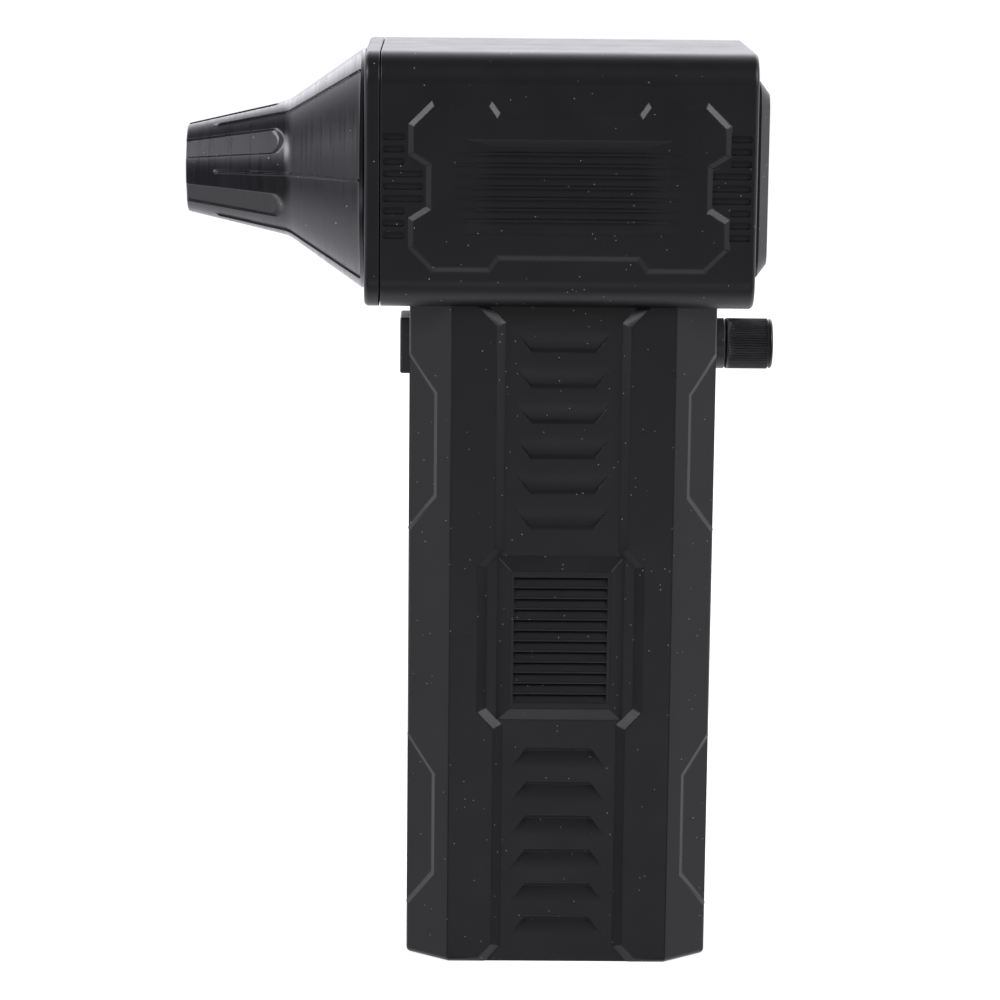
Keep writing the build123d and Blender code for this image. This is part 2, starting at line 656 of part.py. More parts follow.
with BuildPart() as shell_cuts:
    with BuildSketch(across(-GRIP_HALF - 1, BUTTON_Z)):
        Rectangle(BUTTON_WIDTH + 2 * BUTTON_GAP, BUTTON_HEIGHT + 2 * BUTTON_GAP)
    extrude(amount=GRIP_WALL + 1.5)
    with BuildSketch(across(GRIP_INNER - 0.5, KNOB_Z)):
        Circle(BUSH_RADIUS)
    extrude(amount=GRIP_WALL + 1)
    with BuildSketch(across(GRIP_INNER - 0.5, CHARGE_Z)):
        RectangleRounded(PORT_WIDTH + 2 * PORT_FIT, PORT_HEIGHT + 2 * PORT_FIT, PORT_HEIGHT / 2)
    extrude(amount=GRIP_WALL + 1)
    with BuildSketch(across(GRIP_INNER - 0.5, LIGHT_Z)):
        Circle(LIGHT_RADIUS)
    extrude(amount=GRIP_WALL + 1)
    with BuildSketch(across(HEAD_REAR - HEAD_WALL - 5, cover_z)):
        Circle(cover_spigot + COVER_FIT)
    extrude(amount=HEAD_WALL + 6)
    for y_side in (-1, 1):
        for z_side in (-1, 1):
            with BuildSketch(across(PLATE_BACK - 0.5)):
                with Locations((y_side * PLATE_SCREW_Y, z_side * PLATE_SCREW_Z)):
                    Circle(SMALL_SCREW)
            extrude(amount=SMALL_SCREW_LENGTH - 1)
            with BuildSketch(across(HEAD_REAR + 0.5, cover_z)):
                with Locations((y_side * COVER_SCREW, z_side * COVER_SCREW)):
                    Circle(SMALL_SCREW)
            extrude(amount=-SMALL_SCREW_LENGTH)
    with BuildSketch(Plane.XZ):
        with Locations((0, HEIGHT / 2)):
            Rectangle(2 * GRIP_LENGTH, HEIGHT + 2)
        with Locations((HEAD_FRONT + HEAD_LENGTH / 2, AXIS_Z)):
            Rectangle(HEAD_LENGTH + 2, HEAD_HEIGHT - 2 * SEAM_DEPTH, mode=Mode.SUBTRACT)
        with Locations((0, HEIGHT / 2 + SEAM_DEPTH - 10)):
            Rectangle(GRIP_LENGTH - 2 * SEAM_DEPTH, HEIGHT - 20, mode=Mode.SUBTRACT)
    extrude(amount=SEAM_WIDTH / 2, both=True)

inner_parts = shell_ribs.part & (grip.part + head.part)

with BuildPart() as both_shells:
    add(grip.part)
    add(head.part)
    add(hollow.part, mode=Mode.SUBTRACT)
    add(inner_parts)
    add(shell_cuts.part, mode=Mode.SUBTRACT)

with BuildPart() as left_housing:
    add(both_shells.part)
    split(bisect_by=Plane.XZ, keep=Keep.TOP)
    with BuildSketch(Plane(origin=(0, 0, 0), x_dir=(1, 0, 0), z_dir=(0, -1, 0))):
        with Locations(*[(x, z) for z in SCREW_ROWS for x in (-SCREW_X, SCREW_X)]):
            Circle(SCREW_RADIUS)
    extrude(amount=SCREW_DEPTH, mode=Mode.SUBTRACT)
finish(left_housing.part, "left_housing")

with BuildPart() as right_housing:
    add(both_shells.part)
    split(bisect_by=Plane.XZ, keep=Keep.BOTTOM)
    screw_places = [(x, -z) for z in SCREW_ROWS for x in (-SCREW_X, SCREW_X)]
    with BuildSketch(Plane(origin=(0, 0, 0), x_dir=(1, 0, 0), z_dir=(0, 1, 0))):
        with Locations(*screw_places):
            Circle(SCREW_RADIUS)
    extrude(amount=SIDE, mode=Mode.SUBTRACT)
    with BuildSketch(Plane(origin=(0, SCREW_SEAT, 0), x_dir=(1, 0, 0), z_dir=(0, 1, 0))):
        with Locations(*screw_places):
            Circle(SCREW_HEAD + 0.2)
    extrude(amount=SIDE, mode=Mode.SUBTRACT)
finish(right_housing.part, "right_housing")


def small_screw(length, radius, head_radius, sunk):
    """Screw along +X from the origin: a pan head before it, or a sunk head with its face on it."""
    head = head_radius - radius
    if sunk:
        profile = [(0, 0), (0, head_radius), (head, radius), (length, radius), (length, 0)]
        face = 0
    else:
        profile = [(-SCREW_HEAD_HEIGHT, 0), (-SCREW_HEAD_HEIGHT, head_radius), (0, head_radius), (0, radius),
                   (length, radius), (length, 0)]
        face = -SCREW_HEAD_HEIGHT
    with BuildPart() as body:
        with BuildSketch(Plane.XZ):
            with BuildLine():
                Polyline(*profile, close=True)
            make_face()
        revolve(axis=Axis.X)
        with BuildSketch(Plane.YZ.offset(face)):
            Rectangle(head_radius * 1.1, head_radius * 0.28)
            Rectangle(head_radius * 0.28, head_radius * 1.1)
        extrude(amount=radius * 0.8, mode=Mode.SUBTRACT)
    return body.part


# ---------------------------------------------------------------- front plate
lug_outer = SPIGOT_RADIUS + LUG_RISE
lug_angles = [90 + k * 360 / BAYONET_LUGS for k in range(BAYONET_LUGS)]
plate_corners = [(y * PLATE_SCREW_Y, z * PLATE_SCREW_Z) for y in (-1, 1) for z in (-1, 1)]

with BuildPart() as front_plate:
    with BuildSketch(across(PLATE_BACK)):
        RectangleRounded(HEAD_WIDTH, HEAD_HEIGHT, HEAD_EDGE)
    extrude(amount=-PLATE_THICK)
    fillet(faces().sort_by(Axis.X)[0].edges(), PLATE_EDGE)
    with BuildSketch(across(PLATE_BACK)):
        Circle(PLATE_BORE)
        for angle in lug_angles:
            add(ring_arc(Plane.XY, SPIGOT_RADIUS - 1, lug_outer + BAYONET_GAP, angle + BAYONET_TURN,
                         LUG_ARC + STOP_ARC))
    extrude(amount=-PLATE_THICK, mode=Mode.SUBTRACT)
    with BuildSketch(across(PLATE_BACK)):
        for angle in lug_angles:
            reach = (LUG_ARC + STOP_ARC) / 2 + 1
            for stop in (angle - reach, angle + BAYONET_TURN + reach):
                add(ring_arc(Plane.XY, PLATE_BORE + BAYONET_GAP, lug_outer + 0.8, stop, STOP_ARC))
    extrude(amount=BAYONET_GAP + LUG_THICK)
    face_plane = Plane(origin=(PLATE_FRONT, 0, AXIS_Z), x_dir=(0, 1, 0), z_dir=(-1, 0, 0))
    with Locations(face_plane):
        with GridLocations(2 * PLATE_SCREW_Y, 2 * PLATE_SCREW_Z, 2, 2):
            CounterSinkHole(SMALL_SCREW, SMALL_HEAD, PLATE_THICK, counter_sink_angle=90)
finish(front_plate.part, "front_plate")

with BuildPart() as front_plate_screws:
    with Locations(*[Location((PLATE_FRONT, y, AXIS_Z + z)) for y, z in plate_corners]):
        add(small_screw(SMALL_SCREW_LENGTH, SMALL_SCREW, SMALL_HEAD, sunk=True))
finish(front_plate_screws.part, "front_plate_screws")

# ---------------------------------------------------------------- nozzle
break_x = MOUTH_X + BREAK_X
base_x = MOUTH_X + BASE_X
rim_back = PLATE_FRONT - NOZZLE_GAP
tip_slope = atan2(BREAK_RADIUS - MOUTH_RADIUS, BREAK_X)
cone_slope = atan2(BASE_RADIUS - BREAK_RADIUS, BASE_X - BREAK_X)
spigot_bore = SPIGOT_RADIUS - SPIGOT_WALL
bore_break = BREAK_RADIUS - NOZZLE_WALL / cos((tip_slope + cone_slope) / 2)
bore_base = base_x - (BASE_RADIUS - NOZZLE_WALL / cos(cone_slope) - spigot_bore) / tan(cone_slope)

with BuildPart() as nozzle:
    with BuildSketch(along()):
        with BuildLine():
            Polyline((MOUTH_X, OUTLET_RADIUS), (MOUTH_X, MOUTH_RADIUS), (break_x, BREAK_RADIUS),
                     (base_x, BASE_RADIUS), (rim_back - RIM_THICK, BASE_RADIUS),
                     (rim_back - RIM_THICK, RIM_RADIUS), (rim_back, RIM_RADIUS), (rim_back, SPIGOT_RADIUS),
                     (SPIGOT_END, SPIGOT_RADIUS), (SPIGOT_END, spigot_bore), (bore_base, spigot_bore),
                     (break_x, bore_break), (MOUTH_X + OUTLET_LAND, OUTLET_RADIUS), close=True)
        make_face()
        fillet(vertices().group_by(Axis.X)[0].sort_by(Axis.Y)[-1], MOUTH_EDGE)
    revolve(axis=FAN_AXIS)
    for k in range(NOZZLE_ARMS):
        angle = k * 360 / NOZZLE_ARMS
        turn = radians(angle)
        outwards = Vector(0, -sin(turn), cos(turn))
        start = Vector(MOUTH_X, 0, AXIS_Z) + outwards * MOUTH_RADIUS
        down_cone = Vector(cos(tip_slope), 0, 0) + outwards * sin(tip_slope)
        off_cone = Vector(-sin(tip_slope), 0, 0) + outwards * cos(tip_slope)
        flute_floor = Plane(origin=start - off_cone * FLUTE_DEPTH, x_dir=down_cone, z_dir=off_cone)
        with BuildSketch(flute_floor):
            with BuildLine():
                Polyline((-2, -FLUTE_MOUTH_WIDTH / 2), (FLUTE_LENGTH, -FLUTE_END_WIDTH / 2),
                         (FLUTE_LENGTH, FLUTE_END_WIDTH / 2), (-2, FLUTE_MOUTH_WIDTH / 2), close=True)
            make_face()
            fillet(vertices().group_by(Axis.X)[-1], FLUTE_CORNER)
        extrude(amount=4, mode=Mode.SUBTRACT)
        rib_start = MOUTH_X + NOZZLE_RIB_START
        rib_radius = MOUTH_RADIUS + NOZZLE_RIB_START * tan(tip_slope)
        with BuildSketch(along(angle + 180 / NOZZLE_ARMS)):
            with BuildLine():
                Polyline((rib_start, rib_radius - 1), (rib_start, rib_radius),
                         (rib_start + NOZZLE_RIB_RISE, rib_radius + NOZZLE_RIB_RISE),
                         (break_x, BREAK_RADIUS + NOZZLE_RIB_RISE), (base_x, BASE_RADIUS + NOZZLE_RIB_RISE),
                         (base_x, BASE_RADIUS - 1), (break_x, BREAK_RADIUS - 1), close=True)
            make_face()
        extrude(amount=NOZZLE_RIB_WIDTH / 2, both=True)
    with BuildSketch(across(LUG_FRONT)):
        for angle in lug_angles:
            add(ring_arc(Plane.XY, SPIGOT_RADIUS - 0.5, lug_outer, angle, LUG_ARC))
    extrude(amount=LUG_THICK)
finish(nozzle.part, "nozzle")

# ---------------------------------------------------------------- fan duct with vanes and motor hub
hub_bore = HUB_RADIUS - HUB_WALL
lead_x = FLANGE_BACK + WIRE_RADIUS + 0.1
motor_screw_turns = [radians((k + 0.5) * 360 / MOTOR_SCREWS) for k in range(MOTOR_SCREWS)]
motor_screw_places = [(MOTOR_SCREW_CIRCLE * cos(turn), MOTOR_SCREW_CIRCLE * sin(turn))
                      for turn in motor_screw_turns]

with BuildPart() as fan_duct:
    add(turned([(DUCT_FRONT, DUCT_BORE), (DUCT_REAR, DUCT_BORE), (DUCT_REAR, DUCT_OUTER),
                (DUCT_FRONT, DUCT_OUTER)]))
    add(turned([(HUB_FRONT, SHAFT_RADIUS + 1), (MOUNT_FRONT, SHAFT_RADIUS + 1), (MOUNT_FRONT, hub_bore),
                (HUB_REAR, hub_bore), (HUB_REAR, HUB_RADIUS), (HUB_FRONT, HUB_RADIUS)]))
    for k in range(VANES):
        turn = radians((k + 0.5) * 360 / VANES)
        outwards = Vector(0, -sin(turn), cos(turn))
        sideways = Vector(0, cos(turn), sin(turn))
        lean = radians(VANE_ANGLE)
        middle = Vector((HUB_FRONT + HUB_REAR) / 2, 0, AXIS_Z) + outwards * (HUB_RADIUS - HUB_WALL / 2)
        with BuildSketch(Plane(origin=middle, x_dir=Vector(cos(lean), 0, 0) + sideways * sin(lean),
                               z_dir=outwards)):
            SlotOverall(HUB_REAR - HUB_FRONT - 2, VANE_THICK)
        extrude(amount=DUCT_BORE - HUB_RADIUS + HUB_WALL / 2 + DUCT_WALL / 2)
    with BuildSketch(Plane.XY.offset(AXIS_Z - DUCT_OUTER - 1)):
        with Locations((lead_x, 0)):
            Rectangle(*LEAD_SLOT)
    extrude(amount=DUCT_OUTER + 1 - hub_bore * cos(atan2(LEAD_SLOT[1] / 2, hub_bore)), mode=Mode.SUBTRACT)
    with BuildSketch(across(HUB_FRONT)):
        with Locations(*motor_screw_places):
            Circle(SMALL_SCREW)
    extrude(amount=HUB_FLOOR, mode=Mode.SUBTRACT)
finish(fan_duct.part, "fan_duct")

with BuildPart() as front_damper:
    add(turned([(FRONT_DAMPER_X, DUCT_OUTER), (FRONT_DAMPER_X + DAMPER_WIDTH, DUCT_OUTER),
                (FRONT_DAMPER_X + DAMPER_WIDTH, DAMPER_OUTER), (FRONT_DAMPER_X, DAMPER_OUTER)]))
finish(front_damper.part, "front_damper")

with BuildPart() as rear_damper:
    add(turned([(REAR_DAMPER_X, DUCT_OUTER), (REAR_DAMPER_X + DAMPER_WIDTH, DUCT_OUTER),
                (REAR_DAMPER_X + DAMPER_WIDTH, DAMPER_OUTER), (REAR_DAMPER_X, DAMPER_OUTER)]))
finish(rear_damper.part, "rear_damper")

with BuildPart() as tail_cone:
    with BuildSketch(along()):
        with BuildLine():
            tip = HUB_FRONT - TAIL_LENGTH
            outer_arc = bulged((tip, TAIL_TIP), (HUB_FRONT, HUB_RADIUS), TAIL_RISE)
            inner_arc = bulged((tip + TAIL_NOSE, TAIL_TIP), (HUB_FRONT, hub_bore), TAIL_INNER_RISE)
            Line(outer_arc @ 0, inner_arc @ 0)
            Line(outer_arc @ 1, inner_arc @ 1)
        make_face()
    revolve(axis=FAN_AXIS)
    add(turned([(tip, 0), (tip + TAIL_NOSE, 0), (tip + TAIL_NOSE, TAIL_TIP), (tip, TAIL_TIP)]))
finish(tail_cone.part, "tail_cone")

# ---------------------------------------------------------------- motor
tube_end = FLANGE_BACK + TUBE_LENGTH
core_front = FLANGE_BACK + CORE_START
core_rear = core_front + CORE_LENGTH

with BuildPart() as motor_mount:
    hole = SHAFT_RADIUS + SHAFT_HOLE_GAP
    add(turned([(MOUNT_FRONT, hole), (MOUNT_FRONT, MOUNT_RADIUS), (FLANGE_BACK, MOUNT_RADIUS),
                (FLANGE_BACK, TUBE_RADIUS), (tube_end, TUBE_RADIUS), (tube_end, BEARING_RADIUS),
                (FLANGE_BACK, BEARING_RADIUS), (FLANGE_BACK, hole)]))
    with BuildSketch(across(MOUNT_FRONT)):
        with Locations(*motor_screw_places):
            Circle(SMALL_SCREW)
    extrude(amount=MOUNT_THICK, mode=Mode.SUBTRACT)
finish(motor_mount.part, "motor_mount")

with BuildPart() as motor_screws:
    with Locations(*[Location((HUB_FRONT, y, AXIS_Z + z)) for y, z in motor_screw_places]):
        add(small_screw(HUB_FLOOR + MOUNT_THICK, SMALL_SCREW, SMALL_HEAD, sunk=False))
finish(motor_screws.part, "motor_screws")


def bearing(x):
    """Sealed bearing as one ring, with a running fit on the shaft."""
    inner = SHAFT_RADIUS + RUNNING
    return turned([(x, inner), (x + BEARING_WIDTH, inner), (x + BEARING_WIDTH, BEARING_RADIUS),
                   (x, BEARING_RADIUS)])


with BuildPart() as front_bearing:
    add(bearing(FLANGE_BACK))
finish(front_bearing.part, "front_bearing")

with BuildPart() as rear_bearing:
    add(bearing(tube_end - BEARING_WIDTH))
finish(rear_bearing.part, "rear_bearing")

with BuildPart() as motor_core:
    with BuildSketch(across(core_front)):
        Circle(COIL_INNER - 0.3)
        with PolarLocations((COIL_INNER + COIL_OUTER) / 2, TEETH):
            Rectangle(COIL_OUTER - COIL_INNER + 1.2, TOOTH_WIDTH)
        for k in range(TEETH):
            add(ring_arc(Plane.XY, COIL_OUTER, CORE_RADIUS, k * 360 / TEETH, 360 / TEETH - CORE_SPLIT))
        Circle(TUBE_RADIUS, mode=Mode.SUBTRACT)
    extrude(amount=CORE_LENGTH)
finish(motor_core.part, "motor_core")

with BuildPart() as motor_windings:
    with BuildSketch(across(core_front - COIL_END)):
        with PolarLocations((COIL_INNER + COIL_OUTER) / 2, TEETH):
            Rectangle(COIL_OUTER - COIL_INNER, COIL_WIDTH)
    extrude(amount=CORE_LENGTH + 2 * COIL_END)
    with BuildSketch(across(core_front)):
        with PolarLocations((COIL_INNER + COIL_OUTER) / 2, TEETH):
            Rectangle(COIL_OUTER - COIL_INNER, TOOTH_WIDTH)
    extrude(amount=CORE_LENGTH, mode=Mode.SUBTRACT)
    add(turned([(core_front - 2 * COIL_END, COIL_OUTER), (core_rear + 2 * COIL_END, COIL_OUTER),
                (core_rear + 2 * COIL_END, CORE_RADIUS), (core_front - 2 * COIL_END, CORE_RADIUS)]),
        mode=Mode.SUBTRACT)
finish(motor_windings.part, "motor_windings")

with BuildPart() as motor_shaft:
    with BuildSketch(across(SHAFT_FRONT)):
        Circle(SHAFT_RADIUS)
    extrude(amount=SHAFT_END - SHAFT_FRONT)
finish(motor_shaft.part, "motor_shaft")

with BuildPart() as rotor_bell:
    bell_front = FLANGE_BACK + BELL_FRONT
    bell_outer = BELL_INNER + BELL_WALL
    add(turned([(bell_front, BELL_INNER), (bell_front, bell_outer), (BELL_BACK, bell_outer),
                (BELL_BACK, SHAFT_RADIUS), (BELL_BACK - BELL_CAP, SHAFT_RADIUS),
                (BELL_BACK - BELL_CAP, BELL_INNER)]))
finish(rotor_bell.part, "rotor_bell")

with BuildPart() as rotor_magnets:
    with BuildSketch(across(core_front)):
        for k in range(MAGNETS):
            add(ring_arc(Plane.XY, MAGNET_INNER, BELL_INNER, k * 360 / MAGNETS, 360 / MAGNETS - MAGNET_SPLIT))
    extrude(amount=CORE_LENGTH)
finish(rotor_magnets.part, "rotor_magnets")

# ---------------------------------------------------------------- impeller
with BuildPart() as impeller:
    with BuildSketch(along()):
        with BuildLine():
            Line((IMPELLER_FRONT, 0), (IMPELLER_FRONT, HUB_RADIUS))
            Line((IMPELLER_FRONT, HUB_RADIUS), (IMPELLER_FRONT + HUB_SKIRT, HUB_RADIUS))
            dome = bulged((IMPELLER_FRONT + HUB_SKIRT, HUB_RADIUS), (IMPELLER_BACK, NUT_RADIUS),
                          HUB_DOME_RISE)
            Line(dome @ 1, (IMPELLER_BACK, 0))
            Line((IMPELLER_BACK, 0), (IMPELLER_FRONT, 0))
        make_face()
    revolve(axis=FAN_AXIS)
    blade_x = IMPELLER_FRONT + BLADE_START + ROOT_CHORD * cos(radians(ROOT_ANGLE)) / 2
    for k in range(BLADES):
        turn = radians(k * 360 / BLADES)
        outwards = Vector(0, -sin(turn), cos(turn))
        sideways = Vector(0, cos(turn), sin(turn))
        sections = []
        for radius, chord, stagger in ((HUB_RADIUS * 0.6, ROOT_CHORD, ROOT_ANGLE),
                                       (DUCT_BORE + 2, TIP_CHORD, TIP_ANGLE)):
            lean = radians(stagger)
            chord_line = Vector(cos(lean), 0, 0) + sideways * sin(lean)
            with BuildSketch(Plane(origin=Vector(blade_x, 0, AXIS_Z) + outwards * radius,
                                   x_dir=chord_line, z_dir=outwards)) as section:
                SlotOverall(chord, BLADE_THICK)
            sections.append(section.sketch)
        loft(sections)
    blade_end = DUCT_BORE - BLADE_GAP
    add(turned([(BELL_BACK, 0), (BELL_BACK, blade_end), (IMPELLER_BACK + PAST, blade_end),
                (IMPELLER_BACK + PAST, 0)]), mode=Mode.INTERSECT)
    cavity_end = IMPELLER_FRONT + CAVITY_DEPTH
    taper_length, taper_drop = CAVITY_TAPER
    add(turned([(BELL_BACK - PAST, IMPELLER_BOSS), (BELL_BACK - PAST, hub_bore), (cavity_end, hub_bore),
                (cavity_end + taper_length, hub_bore - taper_drop),
                (cavity_end + taper_length, IMPELLER_BOSS)]), mode=Mode.SUBTRACT)
    boss_end = IMPELLER_FRONT + BOSS_OVERLAP
    add(turned([(BELL_BACK, SHAFT_RADIUS), (BELL_BACK, IMPELLER_BOSS), (boss_end, IMPELLER_BOSS),
                (boss_end, SHAFT_RADIUS)]))
    add(turned([(BELL_BACK - PAST, 0), (BELL_BACK - PAST, SHAFT_RADIUS), (IMPELLER_BACK + PAST, SHAFT_RADIUS),
                (IMPELLER_BACK + PAST, 0)]), mode=Mode.SUBTRACT)
finish(impeller.part, "impeller")

with BuildPart() as impeller_nut:
    cap_centre = IMPELLER_BACK + NUT_LENGTH - NUT_RADIUS
    with Locations((cap_centre, 0, AXIS_Z)):
        Sphere(NUT_RADIUS)
    add(turned([(IMPELLER_BACK, 0), (IMPELLER_BACK, NUT_RADIUS), (cap_centre, NUT_RADIUS), (cap_centre, 0)]))
    split(bisect_by=Plane(across(IMPELLER_BACK).location), keep=Keep.TOP)
    add(turned([(IMPELLER_BACK, 0), (IMPELLER_BACK, SHAFT_RADIUS), (SHAFT_END, SHAFT_RADIUS), (SHAFT_END, 0)]),
        mode=Mode.SUBTRACT)
finish(impeller_nut.part, "impeller_nut")

# ---------------------------------------------------------------- rear cover and intake guard
cover_corners = [(y * COVER_SCREW, z * COVER_SCREW) for y in (-1, 1) for z in (-1, 1)]

with BuildPart() as rear_cover:
    with BuildSketch(across(HEAD_REAR, cover_z)):
        RectangleRounded(COVER_SIZE, COVER_SIZE, COVER_CORNER)
    extrude(amount=COVER_THICK - COVER_CHAMFER)
    with BuildSketch(across(COVER_BACK - COVER_CHAMFER, cover_z)):
        RectangleRounded(COVER_SIZE, COVER_SIZE, COVER_CORNER)
    face_size = COVER_SIZE - 2 * COVER_CHAMFER_SIDE
    with BuildSketch(across(COVER_BACK, cover_z)):
        RectangleRounded(face_size, face_size, COVER_CORNER - COVER_CHAMFER_SIDE)
    loft(ruled=True)
    with BuildSketch(across(HEAD_REAR, cover_z)):
        Circle(cover_spigot)
    extrude(amount=-COVER_SPIGOT_LENGTH)
    with BuildSketch(across(COVER_BACK, cover_z)):
        Circle(INTAKE_RADIUS)
    extrude(amount=-COVER_THICK - COVER_SPIGOT_LENGTH, mode=Mode.SUBTRACT)
    with Locations(across(COVER_BACK, cover_z)):
        with GridLocations(2 * COVER_SCREW, 2 * COVER_SCREW, 2, 2):
            CounterSinkHole(SMALL_SCREW, SMALL_HEAD, COVER_THICK + 1, counter_sink_angle=90)
finish(rear_cover.part, "rear_cover")

with BuildPart() as rear_cover_screws:
    with Locations(*[Location((COVER_BACK, y, cover_z + z), (0, 0, 180)) for y, z in cover_corners]):
        add(small_screw(SMALL_SCREW_LENGTH, SMALL_SCREW, SMALL_HEAD, sunk=True))
finish(rear_cover_screws.part, "rear_cover_screws")

with BuildPart() as intake_guard:
    ring_step = (INTAKE_RADIUS - GUARD_BOSS) / GUARD_RINGS
    with BuildSketch(across(COVER_BACK - GUARD_SETBACK, cover_z)):
        Circle(INTAKE_RADIUS)
        Circle(INTAKE_RADIUS - GUARD_BAR, mode=Mode.SUBTRACT)
        for ring in range(1, GUARD_RINGS):
            with BuildSketch(mode=Mode.ADD):
                Circle(GUARD_BOSS + ring * ring_step)
                Circle(GUARD_BOSS + ring * ring_step - GUARD_BAR, mode=Mode.SUBTRACT)
        with PolarLocations((INTAKE_RADIUS + GUARD_BOSS) / 2 - 0.4, GUARD_SPOKES):
            Rectangle(INTAKE_RADIUS - GUARD_BOSS, GUARD_BAR)
        Circle(GUARD_BOSS)
    extrude(amount=-GUARD_THICK)
finish(intake_guard.part, "intake_guard")

# ---------------------------------------------------------------- power button, spring and switch
with BuildPart() as trigger_button:
    with BuildSketch(across(BUTTON_FRONT, BUTTON_Z)):
        Rectangle(BUTTON_WIDTH, BUTTON_HEIGHT)
    extrude(amount=FLANGE_FRONT - BUTTON_FRONT)
    fillet(edges().filter_by(Axis.X) + faces().sort_by(Axis.X)[0].edges(), BUTTON_EDGE)
    with BuildSketch(across(FLANGE_FRONT, BUTTON_Z)):
        Rectangle(BUTTON_WIDTH + 2 * FLANGE_MARGIN, BUTTON_HEIGHT + 2 * FLANGE_MARGIN)
    extrude(amount=FLANGE_THICK)
finish(trigger_button.part, "trigger_button")

with BuildPart() as switch_plunger:
    with BuildSketch(across(FLANGE_REAR, BUTTON_Z)):
        Circle(PLUNGER_RADIUS)
    extrude(amount=SPRING_LENGTH + PLUNGER_SUNK)
finish(switch_plunger.part, "switch_plunger")

with BuildPart() as button_switch:
    with BuildSketch(across(SWITCH_FRONT, BUTTON_Z)):
        Rectangle(SWITCH_SIZE, SWITCH_SIZE)
    extrude(amount=SWITCH_DEPTH)
    with BuildSketch(across(SWITCH_FRONT, BUTTON_Z)):
        Circle(PLUNGER_RADIUS + PLUNGER_FIT)
    extrude(amount=PLUNGER_SUNK + BUTTON_TRAVEL + PLUNGER_SPARE, mode=Mode.SUBTRACT)
finish(button_switch.part, "button_switch")

with BuildPart() as button_spring:
    coil_height = SPRING_LENGTH - SPRING_WIRE - 2 * SPRING_FLOAT
    coil = Helix(pitch=coil_height / SPRING_TURNS, height=coil_height, radius=SPRING_RADIUS,
                 center=(FLANGE_REAR + SPRING_WIRE / 2 + SPRING_FLOAT, 0, BUTTON_Z), direction=(1, 0, 0))
    with BuildSketch(Plane(origin=coil @ 0, z_dir=coil % 0)):
        Circle(SPRING_WIRE / 2)
    sweep(path=coil, is_frenet=True)
finish(button_spring.part, "button_spring")

# ---------------------------------------------------------------- speed knob and potentiometer
pot_shaft_start = GRIP_INNER - POT_SHAFT_SUNK
knob_shaft_end = KNOB_END - KNOB_CAP

with BuildPart() as knob_collar:
    with BuildSketch(across(GRIP_HALF, KNOB_Z)):
        Circle(KNOB_RADIUS)
        Circle(COLLAR_BORE, mode=Mode.SUBTRACT)
    extrude(amount=COLLAR_LENGTH)
finish(knob_collar.part, "knob_collar")

with BuildPart() as speed_knob:
    with BuildSketch(across(KNOB_START, KNOB_Z)):
        Circle(KNOB_RADIUS)
    extrude(amount=KNOB_LENGTH)
    fillet(faces().sort_by(Axis.X)[-1].edges(), KNOB_EDGE)
    with BuildSketch(across(KNOB_START, KNOB_Z)):
        Circle(SHAFT_RADIUS)
    extrude(amount=knob_shaft_end - KNOB_START, mode=Mode.SUBTRACT)
finish(speed_knob.part, "speed_knob")

with BuildPart() as knob_shaft:
    with BuildSketch(across(pot_shaft_start, KNOB_Z)):
        Circle(SHAFT_RADIUS)
    extrude(amount=knob_shaft_end - pot_shaft_start)
finish(knob_shaft.part, "knob_shaft")

with BuildPart() as potentiometer:
    with BuildSketch(across(GRIP_INNER, KNOB_Z)):
        Rectangle(POT_SIZE, POT_SIZE)
    extrude(amount=-POT_DEPTH)
    with BuildSketch(across(GRIP_INNER, KNOB_Z)):
        Circle(BUSH_RADIUS)
    extrude(amount=GRIP_WALL + BUSH_PROUD)
    with BuildSketch(across(pot_shaft_start - POT_SHAFT_GAP, KNOB_Z)):
        Circle(SHAFT_RADIUS + RUNNING)
    extrude(amount=GRIP_LENGTH, mode=Mode.SUBTRACT)
finish(potentiometer.part, "potentiometer")

with BuildPart() as potentiometer_nut:
    with BuildSketch(across(GRIP_HALF, KNOB_Z)):
        RegularPolygon(POT_NUT / 2, 6, major_radius=False)
        Circle(BUSH_RADIUS, mode=Mode.SUBTRACT)
    extrude(amount=POT_NUT_THICK)
finish(potentiometer_nut.part, "potentiometer_nut")

# ---------------------------------------------------------------- shell screws
with BuildPart() as housing_screws:
    with Locations(*[Location((x, SCREW_SEAT, z), (0, 0, -90))
                     for z in SCREW_ROWS for x in (-SCREW_X, SCREW_X)]):
        add(small_screw(SCREW_SEAT + SCREW_DEPTH - 0.5, SCREW_RADIUS, SCREW_HEAD, sunk=False))
finish(housing_screws.part, "housing_screws")

# ---------------------------------------------------------------- cells
cell_top = CELL_BASE + CELL_LENGTH
holder_size = CELL_SPACING + 2 * (CELL_RADIUS + HOLDER_MARGIN / 2)

with BuildPart() as battery_cells:
    with BuildSketch(Plane.XY.offset(CELL_BASE)):
        with GridLocations(CELL_SPACING, CELL_SPACING, 2, 2):
            Circle(CELL_RADIUS)
    extrude(amount=CELL_LENGTH)
finish(battery_cells.part, "battery_cells")


def strap_slots(level, mode):
    """Two strip faces, each over a pair of cells."""
    with BuildSketch(Plane.XY.offset(level)) as strips:
        with GridLocations(1, CELL_SPACING, 1, 2):
            Rectangle(CELL_SPACING, STRAP_WIDTH)
    return extrude(strips.sketch, amount=STRAP_THICK, mode=mode)


